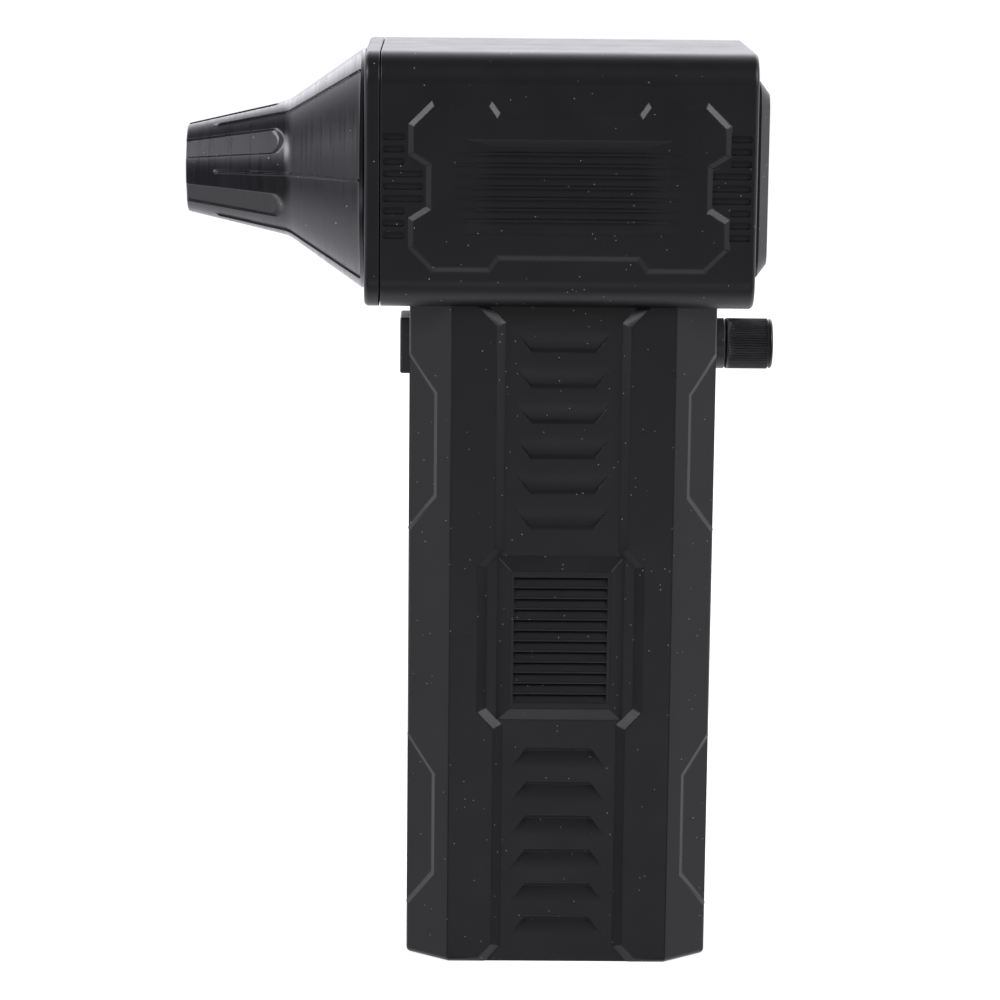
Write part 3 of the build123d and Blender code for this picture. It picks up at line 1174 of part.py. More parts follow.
with BuildPart() as lower_cell_holder:
    with BuildSketch(Plane.XY.offset(GRIP_WALL)):
        RectangleRounded(holder_size, holder_size, CELL_RADIUS)
    extrude(amount=CELL_BASE + HOLDER_THICK - GRIP_WALL)
    with BuildSketch(Plane.XY.offset(CELL_BASE)):
        with GridLocations(CELL_SPACING, CELL_SPACING, 2, 2):
            Circle(CELL_RADIUS)
    extrude(amount=HOLDER_THICK, mode=Mode.SUBTRACT)
    strap_slots(CELL_BASE - STRAP_THICK, Mode.SUBTRACT)
    with BuildSketch(Plane.XY.offset(GRIP_WALL)):
        RectangleRounded(holder_size - 4, holder_size - 4, CELL_RADIUS - 2)
    extrude(amount=CELL_BASE - GRIP_WALL - 2, mode=Mode.SUBTRACT)
finish(lower_cell_holder.part, "lower_cell_holder")

with BuildPart() as upper_cell_holder:
    with BuildSketch(Plane.XY.offset(cell_top - HOLDER_THICK)):
        RectangleRounded(holder_size, holder_size, CELL_RADIUS)
    extrude(amount=BATTERY_BOARD_Z - cell_top + HOLDER_THICK)
    with BuildSketch(Plane.XY.offset(cell_top - HOLDER_THICK)):
        with GridLocations(CELL_SPACING, CELL_SPACING, 2, 2):
            Circle(CELL_RADIUS)
    extrude(amount=HOLDER_THICK, mode=Mode.SUBTRACT)
    strap_slots(cell_top, Mode.SUBTRACT)
finish(upper_cell_holder.part, "upper_cell_holder")

with BuildPart() as cell_straps:
    strap_slots(CELL_BASE - STRAP_THICK, Mode.ADD)
    strap_slots(cell_top, Mode.ADD)
finish(cell_straps.part, "cell_straps")

with BuildPart() as battery_board:
    with BuildSketch(Plane.XY.offset(BATTERY_BOARD_Z)):
        RectangleRounded(holder_size, holder_size - 4, 3)
    extrude(amount=BOARD_THICK)
finish(battery_board.part, "battery_board")

# ---------------------------------------------------------------- control board and what stands on it
board_front = Plane(origin=(0, -BOARD_THICK / 2, (CONTROL_BOTTOM + CONTROL_TOP) / 2), x_dir=(1, 0, 0),
                    z_dir=(0, -1, 0))
board_rear = Plane(origin=(0, BOARD_THICK / 2, (CONTROL_BOTTOM + CONTROL_TOP) / 2), x_dir=(-1, 0, 0),
                   z_dir=(0, 1, 0))

with BuildPart() as control_board:
    with BuildSketch(board_front):
        Rectangle(CONTROL_LENGTH, CONTROL_HEIGHT)
    extrude(amount=-BOARD_THICK)
finish(control_board.part, "control_board")

with BuildPart() as power_transistors:
    with BuildSketch(board_front):
        with Locations((0, TRANSISTOR_RISE)):
            with GridLocations(TRANSISTOR_PITCH, TRANSISTOR_PITCH, 3, 2):
                Rectangle(*TRANSISTOR)
    extrude(amount=TRANSISTOR_THICK)
finish(power_transistors.part, "power_transistors")

with BuildPart() as capacitors:
    capacitor_y = -BOARD_THICK / 2 - CAPACITOR_RADIUS
    with BuildSketch(Plane.XY.offset(CONTROL_BOTTOM + CAPACITOR_RISE)):
        with Locations((-CAPACITOR_X, capacitor_y), (CAPACITOR_X, capacitor_y)):
            Circle(CAPACITOR_RADIUS)
    extrude(amount=CAPACITOR_HEIGHT)
finish(capacitors.part, "capacitors")

with BuildPart() as heat_sink:
    with BuildSketch(board_rear):
        Rectangle(*HEAT_SINK)
    extrude(amount=SINK_THICK)
    with BuildSketch(board_rear.offset(SINK_BASE)):
        with GridLocations(SINK_PITCH, 1, SINK_SLOTS, 1):
            Rectangle(SINK_SLOT_WIDTH, HEAT_SINK[1] + PAST)
    extrude(amount=SINK_THICK, mode=Mode.SUBTRACT)
finish(heat_sink.part, "heat_sink")

with BuildPart() as motor_connector:
    with BuildSketch(Plane.XY.offset(CONTROL_TOP)):
        with Locations((lead_x, 0)):
            Rectangle(*CONNECTOR)
    extrude(amount=CONNECTOR_HEIGHT)
finish(motor_connector.part, "motor_connector")

with BuildPart() as motor_leads:
    lead_foot = CONTROL_TOP + CONNECTOR_HEIGHT
    with BuildSketch(Plane.XY.offset(lead_foot)):
        with Locations(*[(lead_x, y) for y in (-LEAD_PITCH, 0, LEAD_PITCH)]):
            Circle(WIRE_RADIUS)
    extrude(amount=AXIS_Z - COIL_INNER - lead_foot)
finish(motor_leads.part, "motor_leads")

with BuildPart() as battery_leads:
    lead_start = BATTERY_BOARD_Z + BOARD_THICK
    lead_top = lead_start + BATTERY_LEAD_RISE
    for x in (-BATTERY_LEAD_X, BATTERY_LEAD_X):
        with BuildLine():
            FilletPolyline((x, BATTERY_LEAD_Y, lead_start), (x, BATTERY_LEAD_Y, lead_top),
                           (x, BOARD_THICK / 2, lead_top), radius=BATTERY_LEAD_BEND)
        with BuildSketch(Plane(origin=(x, BATTERY_LEAD_Y, lead_start), z_dir=(0, 0, 1))):
            Circle(WIRE_RADIUS)
        sweep()
finish(battery_leads.part, "battery_leads")

# ---------------------------------------------------------------- charging port and charge light
port_back = GRIP_HALF - PORT_SETBACK - PORT_DEPTH
port_corner = PORT_HEIGHT / 2 - 0.01

with BuildPart() as charge_port:
    with BuildSketch(across(port_back, CHARGE_Z)):
        RectangleRounded(PORT_WIDTH, PORT_HEIGHT, port_corner)
    extrude(amount=PORT_DEPTH)
    with BuildSketch(across(port_back + PORT_BACK_WALL, CHARGE_Z)):
        RectangleRounded(PORT_WIDTH - 2 * PORT_WALL, PORT_HEIGHT - 2 * PORT_WALL, port_corner - PORT_WALL)
    extrude(amount=PORT_DEPTH, mode=Mode.SUBTRACT)
    with BuildSketch(across(port_back, CHARGE_Z)):
        Rectangle(*PORT_TONGUE)
    extrude(amount=PORT_DEPTH - TONGUE_SETBACK)
finish(charge_port.part, "charge_port")

with BuildPart() as charge_board:
    with BuildSketch(across(port_back, (CHARGE_Z + LIGHT_Z) / 2 - CHARGE_BOARD_DROP)):
        Rectangle(*CHARGE_BOARD)
    extrude(amount=-BOARD_THICK)
finish(charge_board.part, "charge_board")

with BuildPart() as light_pipe:
    with BuildSketch(across(port_back, LIGHT_Z)):
        Circle(LIGHT_RADIUS)
    extrude(amount=GRIP_HALF - port_back)
finish(light_pipe.part, "light_pipe")
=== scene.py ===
"""Looks of the car dryer blower: moulded shells, satin nozzle, knurled knob and the pieces inside.

Lengths are metres in the row's frame: the grip stands on z = 0, the nozzle points along -X.
"""
import json
from math import cos, pi, radians, sin

import bmesh
import bpy
import numpy as np
from mathutils import Matrix, Vector


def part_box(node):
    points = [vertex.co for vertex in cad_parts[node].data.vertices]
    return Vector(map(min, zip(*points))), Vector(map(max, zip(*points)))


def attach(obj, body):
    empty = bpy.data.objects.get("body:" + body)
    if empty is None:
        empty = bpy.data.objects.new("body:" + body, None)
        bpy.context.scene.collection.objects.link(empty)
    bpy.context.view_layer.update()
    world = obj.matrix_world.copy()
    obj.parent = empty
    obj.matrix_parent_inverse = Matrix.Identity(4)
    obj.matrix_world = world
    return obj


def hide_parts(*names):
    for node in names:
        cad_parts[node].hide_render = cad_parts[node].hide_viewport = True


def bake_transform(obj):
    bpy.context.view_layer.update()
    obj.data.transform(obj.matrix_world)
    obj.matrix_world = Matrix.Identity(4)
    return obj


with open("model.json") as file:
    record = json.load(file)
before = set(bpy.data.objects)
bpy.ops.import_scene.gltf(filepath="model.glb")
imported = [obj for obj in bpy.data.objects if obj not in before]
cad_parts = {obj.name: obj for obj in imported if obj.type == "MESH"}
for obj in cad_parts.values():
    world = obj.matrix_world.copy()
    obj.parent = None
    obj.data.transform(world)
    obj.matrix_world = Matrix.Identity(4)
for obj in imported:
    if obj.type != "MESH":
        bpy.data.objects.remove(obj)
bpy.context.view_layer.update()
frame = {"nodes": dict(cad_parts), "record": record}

MM = 0.001
CAMERA_AT = Vector((-0.0236, -0.7711, 0.2500))
CAMERA_PITCH = radians(11.04)
CAMERA_TURN = radians(0.784)
CAMERA_ROLL = radians(0.592)
LENS_MM = 127.5

nodes = frame["nodes"]
bodies = frame["record"]["behaviour"]["bodies"]
body_of_node = {name: body for body, names in bodies.items() for name in names}
slot_of_node = {part["node"]: part["material_slot"] for part in frame["record"]["subparts"]}


# ---------------------------------------------------------------- shader helpers
def linear(hex_colour):
    """sRGB hex to linear red, green, blue and alpha."""
    levels = [int(hex_colour[i:i + 2], 16) / 255 for i in (1, 3, 5)]
    return [c / 12.92 if c <= 0.04045 else ((c + 0.055) / 1.055) ** 2.4 for c in levels] + [1.0]


def put(tree, kind, inputs=None, **settings):
    """Add a node; inputs maps a socket to a value or to another node's output."""
    node = tree.nodes.new(kind)
    for key, value in settings.items():
        setattr(node, key, value)
    for key, value in (inputs or {}).items():
        if isinstance(value, bpy.types.NodeSocket):
            tree.links.new(value, node.inputs[key])
        else:
            node.inputs[key].default_value = value
    return node


def new_material(name):
    """Empty node material and the object's own coordinates; close_material adds its output."""
    material = bpy.data.materials.new(name)
    material.use_nodes = True
    tree = material.node_tree
    tree.nodes.clear()
    coords = put(tree, "ShaderNodeTexCoord").outputs["Object"]
    return material, tree, coords


def close_material(tree, shader):
    """Link the finished shader to the output."""
    out = put(tree, "ShaderNodeOutputMaterial")
    tree.links.new(shader.outputs[0], out.inputs["Surface"])


def per_mm(size):
    """Texture scale, in repeats for each metre, of a pattern whose cells are size millimetres."""
    return 1.0 / (size * MM)


def set_ramp(ramp, *stops):
    """Set the position and the hex colour of each of a ramp's two stops."""
    for element, (position, colour) in zip(ramp.color_ramp.elements, stops):
        element.position, element.color = position, linear(colour)


def two_tone(tree, coords, low, high, cell, detail=2.0):
    """Slow drift between two hex colours in cells of that many millimetres."""
    noise = put(tree, "ShaderNodeTexNoise", {"Vector": coords, "Scale": per_mm(cell), "Detail": detail})
    ramp = put(tree, "ShaderNodeValToRGB", {"Fac": noise.outputs["Fac"]})
    set_ramp(ramp, (0.35, low), (0.65, high))
    return ramp.outputs["Color"]


def ranged(tree, value, low, high):
    """A 0.3 to 0.7 noise value stretched to a low and a high."""
    stretch = put(tree, "ShaderNodeMapRange", {"Value": value, "From Min": 0.3, "From Max": 0.7,
                                              "To Min": low, "To Max": high})
    return stretch.outputs["Result"]


def dust(tree, coords, colour, spacing=1.9, size=0.046, share=0.9):
    """Sparse specks of settled lint, each a dot a few hundredths of its cell across, on a share of cells."""
    cells = put(tree, "ShaderNodeTexVoronoi", {"Vector": coords, "Scale": per_mm(spacing)})
    near = put(tree, "ShaderNodeMath", {0: cells.outputs["Distance"], 1: size}, operation="LESS_THAN")
    tint = put(tree, "ShaderNodeSeparateColor", {"Color": cells.outputs["Color"]})
    picked = put(tree, "ShaderNodeMath", {0: tint.outputs["Red"], 1: share}, operation="LESS_THAN")
    mask = put(tree, "ShaderNodeMath", {0: near.outputs[0], 1: picked.outputs[0]}, operation="MULTIPLY")
    mixed = put(tree, "ShaderNodeMix", {"Factor": mask.outputs[0]}, data_type="RGBA")
    tree.links.new(colour, mixed.inputs["A"])
    mixed.inputs["B"].default_value = linear("#b4b6bb")
    return mixed.outputs["Result"]


def grain(tree, coords, cell, height, strength):
    """Bump from fine cells: cell is their size and height their depth, both in millimetres."""
    texture = put(tree, "ShaderNodeTexNoise", {"Vector": coords, "Scale": per_mm(cell)})
    bump = put(tree, "ShaderNodeBump", {"Height": texture.outputs["Fac"], "Distance": height * MM,
                                        "Strength": strength})
    return bump.outputs["Normal"]


def plastic(name, low, high, rough, grain_mm, depth_mm, strength=0.5, ior=1.5, dusty=True, drift=14.0):
    """Moulded plastic: a two-tone base, roughness drifting between two values and a fine mould grain.

    The colour drifts over 14 mm and the roughness over 9 mm, as a part dulls where hands and cloths pass.
    """
    material, tree, coords = new_material(name)
    colour = two_tone(tree, coords, low, high, drift)
    if dusty:
        colour = dust(tree, coords, colour)
    normal = grain(tree, coords, grain_mm, depth_mm, strength)
    smear = put(tree, "ShaderNodeTexNoise", {"Vector": coords, "Scale": per_mm(9.0), "Detail": 3.0})
    shader = put(tree, "ShaderNodeBsdfPrincipled", {
        "Base Color": colour, "Roughness": ranged(tree, smear.outputs["Fac"], *rough), "IOR": ior,
        "Normal": normal})
    close_material(tree, shader)
    return material


def metal(name, low, high, rough, brush=(1.2, 1.2)):
    """Bare metal: brush is the cell size in millimetres along and across the brushed direction X."""
    material, tree, coords = new_material(name)
    along, across = (per_mm(cell) for cell in brush)
    lined = put(tree, "ShaderNodeMapping", {"Vector": coords, "Scale": (along, across, across)})
    noise = put(tree, "ShaderNodeTexNoise", {"Vector": lined.outputs["Vector"], "Scale": 1.0, "Detail": 3.0})
    ramp = put(tree, "ShaderNodeValToRGB", {"Fac": noise.outputs["Fac"]})
    set_ramp(ramp, (0.3, low), (0.7, high))
    shader = put(tree, "ShaderNodeBsdfPrincipled", {
        "Base Color": ramp.outputs["Color"], "Metallic": 1.0,
        "Roughness": ranged(tree, noise.outputs["Fac"], *rough)})
    close_material(tree, shader)
    return material


# ---------------------------------------------------------------- finishes
def spark_eroded_nylon():
    """Black glass-filled nylon from a spark-eroded mould: a fine dull grain that greys at a glance."""
    return plastic("spark_eroded_nylon", "#0a0a0b", "#0d0d0e", (0.39, 0.44), grain_mm=0.35,
                   depth_mm=0.010, strength=0.45, ior=1.45)


def satin_abs():
    """Black ABS from a stoned steel mould, with faint tool lines running round the nozzle's axis."""
    material, tree, coords = new_material("satin_abs")
    colour = dust(tree, coords, two_tone(tree, coords, "#131317", "#19191e", 10.0), spacing=3.0)
    line_spacing, line_length = 0.55, 16.0
    ringed = put(tree, "ShaderNodeMapping", {
        "Vector": coords, "Scale": (per_mm(line_spacing), per_mm(line_length), per_mm(line_length))})
    rings = put(tree, "ShaderNodeTexNoise", {
        "Vector": ringed.outputs["Vector"], "Scale": 1.0, "Detail": 2.0})
    bump = put(tree, "ShaderNodeBump", {
        "Height": rings.outputs["Fac"], "Distance": 0.01 * MM, "Strength": 0.22})
    shader = put(tree, "ShaderNodeBsdfPrincipled", {
        "Base Color": colour, "Roughness": ranged(tree, rings.outputs["Fac"], 0.25, 0.34), "IOR": 1.54,
        "Normal": bump.outputs["Normal"]})
    close_material(tree, shader)
    return material


def coil_enamel():
    """Enamelled copper wire: turns about 1 mm apart across the coil, seen as fine copper bands, with painted
    shade darkening the grooves between turns and a painted highlight lightening their crests.

    A wave texture repeats twenty times in each 2 pi of its scaled coordinate.
    """
    material, tree, coords = new_material("coil_enamel")
    turn_pitch = 0.986
    bands = put(tree, "ShaderNodeTexWave", {
        "Vector": coords, "Scale": 2 * pi / 20 * per_mm(turn_pitch), "Distortion": 0.4})
    ramp = put(tree, "ShaderNodeValToRGB", {"Fac": bands.outputs["Fac"]})
    # painted shade and painted highlight: dark copper in the grooves between turns, light copper on their
    # crests, on the same bands as the bump
    set_ramp(ramp, (0.0, "#7a3413"), (1.0, "#c8723a"))
    bump = put(tree, "ShaderNodeBump", {
        "Height": bands.outputs["Fac"], "Distance": 0.1 * MM, "Strength": 0.8})
    shader = put(tree, "ShaderNodeBsdfPrincipled", {
        "Base Color": ramp.outputs["Color"], "Metallic": 0.85, "Roughness": 0.32,
        "Normal": bump.outputs["Normal"]})
    close_material(tree, shader)
    return material


def solder_mask():
    """Green solder mask: copper tracks about 0.7 mm wide show through as a lighter green."""
    material, tree, coords = new_material("solder_mask")
    tracks = put(tree, "ShaderNodeTexBrick", {"Vector": coords, "Scale": per_mm(6.0),
                                              "Color1": linear("#0d4a26"), "Color2": linear("#0b4022"),
                                              "Mortar": linear("#1c7040"), "Mortar Size": 0.06})
    shader = put(tree, "ShaderNodeBsdfPrincipled", {"Base Color": tracks.outputs["Color"], "Roughness": 0.3})
    close_material(tree, shader)
    return material


def clear_acrylic():
    """Clear acrylic light pipe, slightly frosted on its face."""
    material, tree, coords = new_material("clear_acrylic")
    frost = put(tree, "ShaderNodeTexNoise", {"Vector": coords, "Scale": per_mm(0.3)})
    shader = put(tree, "ShaderNodeBsdfPrincipled", {
        "Base Color": linear("#dfe8ea"), "Roughness": ranged(tree, frost.outputs["Fac"], 0.15, 0.3),
        "IOR": 1.49, "Transmission Weight": 0.7})
    close_material(tree, shader)
    return material


finishes = {
    "shell": spark_eroded_nylon(),
    "nozzle_plastic": satin_abs(),
    # the same ABS as the nozzle, a shade lighter, with a fine grain in place of the tool lines
    "button_plastic": plastic("fine_grain_abs", "#242427", "#29292c", (0.38, 0.46), 0.3, 0.008, 0.4),
    "knob_plastic": plastic("knurled_abs", "#17171a", "#1c1c1e", (0.34, 0.44), 0.3, 0.006, 0.35),
    "duct_plastic": plastic("glass_filled_nylon", "#17181a", "#1e1f22", (0.42, 0.55), 0.6, 0.01, 0.4,
                            dusty=False),
    "plunger_plastic": plastic("natural_acetal", "#d9d7cf", "#e6e4dd", (0.25, 0.35), 0.8, 0.004, 0.2,
                               dusty=False),
    "damper_rubber": plastic("silicone_rubber", "#141415", "#1c1c1e", (0.7, 0.85), 0.5, 0.02, 0.5, ior=1.41,
                             dusty=False),
    "aluminium": metal("turned_aluminium", "#b9bcc0", "#d4d6d9", (0.25, 0.4), brush=(0.3, 8.0)),
    "steel": metal("zinc_plated_steel", "#8f9296", "#aeb1b5", (0.22, 0.36)),
    "magnet": metal("nickel_plated_magnet", "#7c7d80", "#95969a", (0.3, 0.42)),
    "copper": coil_enamel(),
    "cell_wrap": plastic("shrink_sleeve_pvc", "#16406c", "#1b4c80", (0.18, 0.28), 2.5, 0.02, 0.3,
                         dusty=False),
    "board": solder_mask(),
    "wire": plastic("silicone_wire_sleeve", "#6e0d0d", "#8c1414", (0.4, 0.5), 0.8, 0.01, 0.3, dusty=False),
    "lens": clear_acrylic(),
}
blackened = metal("blackened_steel_screw", "#2a2b2d", "#3a3b3e", (0.3, 0.45))


# ---------------------------------------------------------------- mesh helpers
WELD = 0.002 * MM
FLAT_WITHIN = radians(0.4)
SMOOTH_UNDER = 18.0
EASED_OVER = radians(1.2 * SMOOTH_UNDER)
SHARE_OF_ROOM = 0.42
SHORTEST_NEIGHBOUR = 0.9


def smooth_by_angle(mesh, angle):
    """Shade smooth, with edges sharper than the angle left crisp."""
    mesh.polygons.foreach_set("use_smooth", np.ones(len(mesh.polygons), bool))
    mesh.set_sharp_from_angle(angle=radians(angle))


def settle(piece, body, slot, material, *replaced):
    """Give a new piece its finish and, where it has one, its body, and hide the CAD nodes that it stands for.

    The body is a name or, for a piece between two bodies, both names and the points where each one ends; such
    a piece is only fixed in place, joins neither body, and its points are not used.
    """
    piece.data.materials.clear()
    piece.data.materials.append(material)
    if isinstance(body, tuple):
        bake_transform(piece)
    else:
        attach(piece, body)
    if replaced:
        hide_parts(*replaced)
    return piece


def room_beside(face, sharp):
    """For each sharp edge of a flat face, the shortest way across the face to its other edges.

    The way is measured at right angles to the edge, near both its ends and in its middle. u runs along the
    edge and v into the face. An edge with nothing across from it has four times its own length.
    """
    loops = list(face.loops)
    first = np.array([loop.vert.co for loop in loops])
    second = np.roll(first, -1, axis=0)
    normal = np.array(face.normal)
    found = {}
    for k, loop in enumerate(loops):
        if loop.edge not in sharp:
            continue
        run = second[k] - first[k]
        length = np.linalg.norm(run)
        along, inward = run / length, np.cross(normal, run / length)
        u1, v1 = (first - first[k]) @ along, (first - first[k]) @ inward
        u2, v2 = np.roll(u1, -1), np.roll(v1, -1)
        room = 4 * length
        for share in (0.1, 0.5, 0.9):
            before, after = u1 - share * length, u2 - share * length
            crossed = before * after < 0
            crossed[k] = False
            before, after, low, high = before[crossed], after[crossed], v1[crossed], v2[crossed]
            height = low - before * (high - low) / (after - before)
            height = height[height > 1e-7]
            room = min(room, height.min()) if len(height) else room
        found[loop.edge] = room
    return found


def eased_copy(name, radius=0.0, material=None):
    """Copy of a CAD node with its corners welded and, given a radius, flat areas joined and edges rounded.

    Edges that turn by more than EASED_OVER get a round of the given radius in millimetres, or of a share of
    the room beside them where that is less, so that a moulded edge catches the light as a thin line. An edge
    that runs into a finely divided curve stays as it is.
    """
    form = bmesh.new()
    form.from_mesh(nodes[name].data)
    bmesh.ops.remove_doubles(form, verts=form.verts, dist=WELD)
    bmesh.ops.dissolve_degenerate(form, edges=form.edges, dist=WELD)
    if radius:
        bmesh.ops.dissolve_limit(form, verts=form.verts, edges=form.edges, angle_limit=FLAT_WITHIN)
        weight = form.edges.layers.float.new("bevel_weight_edge")
        shortest = SHORTEST_NEIGHBOUR * radius * MM
        sharp = {e for e in form.edges if len(e.link_faces) == 2 and e.calc_face_angle() > EASED_OVER
                 and min(n.calc_length() for v in e.verts for n in v.link_edges) > shortest}
        room = {}
        for face in form.faces:
            for edge, way in room_beside(face, sharp).items():
                room[edge] = min(way, room.get(edge, way))
        for edge, way in room.items():
            edge[weight] = min(1.0, SHARE_OF_ROOM * way / (radius * MM))
    mesh = bpy.data.meshes.new(name + "_skin")
    form.to_mesh(mesh)
    form.free()
    piece = bpy.data.objects.new(name + "_skin", mesh)
    bpy.context.scene.collection.objects.link(piece)
    smooth_by_angle(mesh, SMOOTH_UNDER)
    if radius:
        ease = piece.modifiers.new("eased_edges", "BEVEL")
        ease.width = radius * MM
        ease.segments = 2
        ease.limit_method = "WEIGHT"
        ease.use_clamp_overlap = False
        level = piece.modifiers.new("flat_faces_stay_flat", "WEIGHTED_NORMAL")
        level.keep_sharp = True
        level.weight = 60
    slot = slot_of_node[name]
    return settle(piece, body_of_node[name], slot, material or finishes[slot], name)


def grid_quads(rows, columns):
    """Quads of a grid whose columns close on themselves, as vertex indices."""
    row, column = np.meshgrid(np.arange(rows - 1), np.arange(columns), indexing="ij")
    after = (column + 1) % columns
    corners = np.stack([row * columns + column, row * columns + after,
                        (row + 1) * columns + after, (row + 1) * columns + column], -1)
    return corners.reshape(-1, 4)


def surface_piece(name, points, quads):
    """Object from an array of points in metres and an array of quads, welded and facing outwards."""
    mesh = bpy.data.meshes.new(name)
    mesh.from_pydata(points.reshape(-1, 3).tolist(), [], quads.tolist())
    form = bmesh.new()
    form.from_mesh(mesh)
    bmesh.ops.remove_doubles(form, verts=form.verts, dist=0.001 * MM)
    bmesh.ops.dissolve_degenerate(form, edges=form.edges, dist=0.0005 * MM)
    bmesh.ops.recalc_face_normals(form, faces=form.faces)
    form.to_mesh(mesh)
    form.free()
    piece = bpy.data.objects.new(name, mesh)
    bpy.context.scene.collection.objects.link(piece)
    return piece


# ---------------------------------------------------------------- speed knob
def knurled_knob():
    """Knurled knob, turned about its own axis along X.

    Its radius at a place x along the knob and an angle t about the axis is r(x) - d(x) * (1 - ridge(t)) where
    r(x) is the turned outline, ridge(t) is a raised cosine with broadened crests, one for each knurl, and
    d(x) is the knurl's depth, which is nothing on the smooth rims. A groove parts the knurl from a plain cap
    with a rounded edge and a shallow dish in its face.
    """
    low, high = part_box("speed_knob")
    centre = (low + high) / 2
    outer = (high.z - low.z) / 2
    bore = (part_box("knob_shaft")[1].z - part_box("knob_shaft")[0].z) / 2
    knurls, samples = 60, 8
    knurl_depth, crest_power = 0.2 * MM, 0.7
    foot, foot_chamfer, cap = 0.55 * MM, 0.25 * MM, 1.3 * MM
    groove_places, groove_depths = (0.2, 0.45, 0.6, 0.75), (0.0, 0.3, 0.3, 0.1)
    cap_inset, cap_edge = 0.1 * MM, 0.5 * MM
    dish, dish_rim, dish_foot, dish_centre = 0.35 * MM, 1.3 * MM, 1.7 * MM, 1.0 * MM
    corner = np.linspace(0, pi / 2, 6)
    knurl_start, knurl_end = low.x + foot, high.x - cap
    outline = [(low.x, bore), (low.x, outer - foot_chamfer), (low.x + foot_chamfer, outer),
               (knurl_start, outer)]
    outline += [(x, outer) for x in np.linspace(knurl_start + 0.2 * MM, knurl_end, 8)]
    outline += [(knurl_end + place * MM, outer - depth * MM)
                for place, depth in zip(groove_places, groove_depths)]
    outline += [(high.x - cap_edge + cap_edge * sin(a), outer - cap_inset - cap_edge + cap_edge * cos(a))
                for a in corner]
    outline += [(high.x, outer - dish_rim), (high.x - dish, outer - dish_foot),
                (high.x - dish, dish_centre), (high.x - dish, 0.0)]
    x, r = np.array(outline).T
    t = np.arange(knurls * samples) * 2 * pi / (knurls * samples)
    ridge = (0.5 + 0.5 * np.cos(t * knurls)) ** crest_power
    depth = ((x > knurl_start) & (x <= knurl_end)) * knurl_depth
    radius = r[:, None] - depth[:, None] * (1 - ridge[None, :])
    points = np.stack([np.broadcast_to(x[:, None], radius.shape),
                       centre.y + radius * np.cos(t), centre.z + radius * np.sin(t)], -1)
    piece = surface_piece("speed_knob_turned", points, grid_quads(len(x), len(t)))
    smooth_by_angle(piece.data, 40)
    return settle(piece, "knob", "knob_plastic", finishes["knob_plastic"], "speed_knob")


# ---------------------------------------------------------------- nozzle
def step(value):
    """Smooth rise from 0 to 1 as the value goes from 0 to 1: 3 v^2 - 2 v^3."""
    v = np.clip(value, 0, 1)
    return v * v * (3 - 2 * v)


def sector_angles():
    """Angles of one sixth of a turn about a flute, close together at its walls and at the rib beside it."""
    half = np.concatenate([np.arange(0, 10, 1.25), np.arange(10, 14, 0.25), np.arange(14, 28, 1.4),
                           np.arange(28, 30, 0.2)])
    return np.concatenate([-half[:0:-1], half, [30.0]])


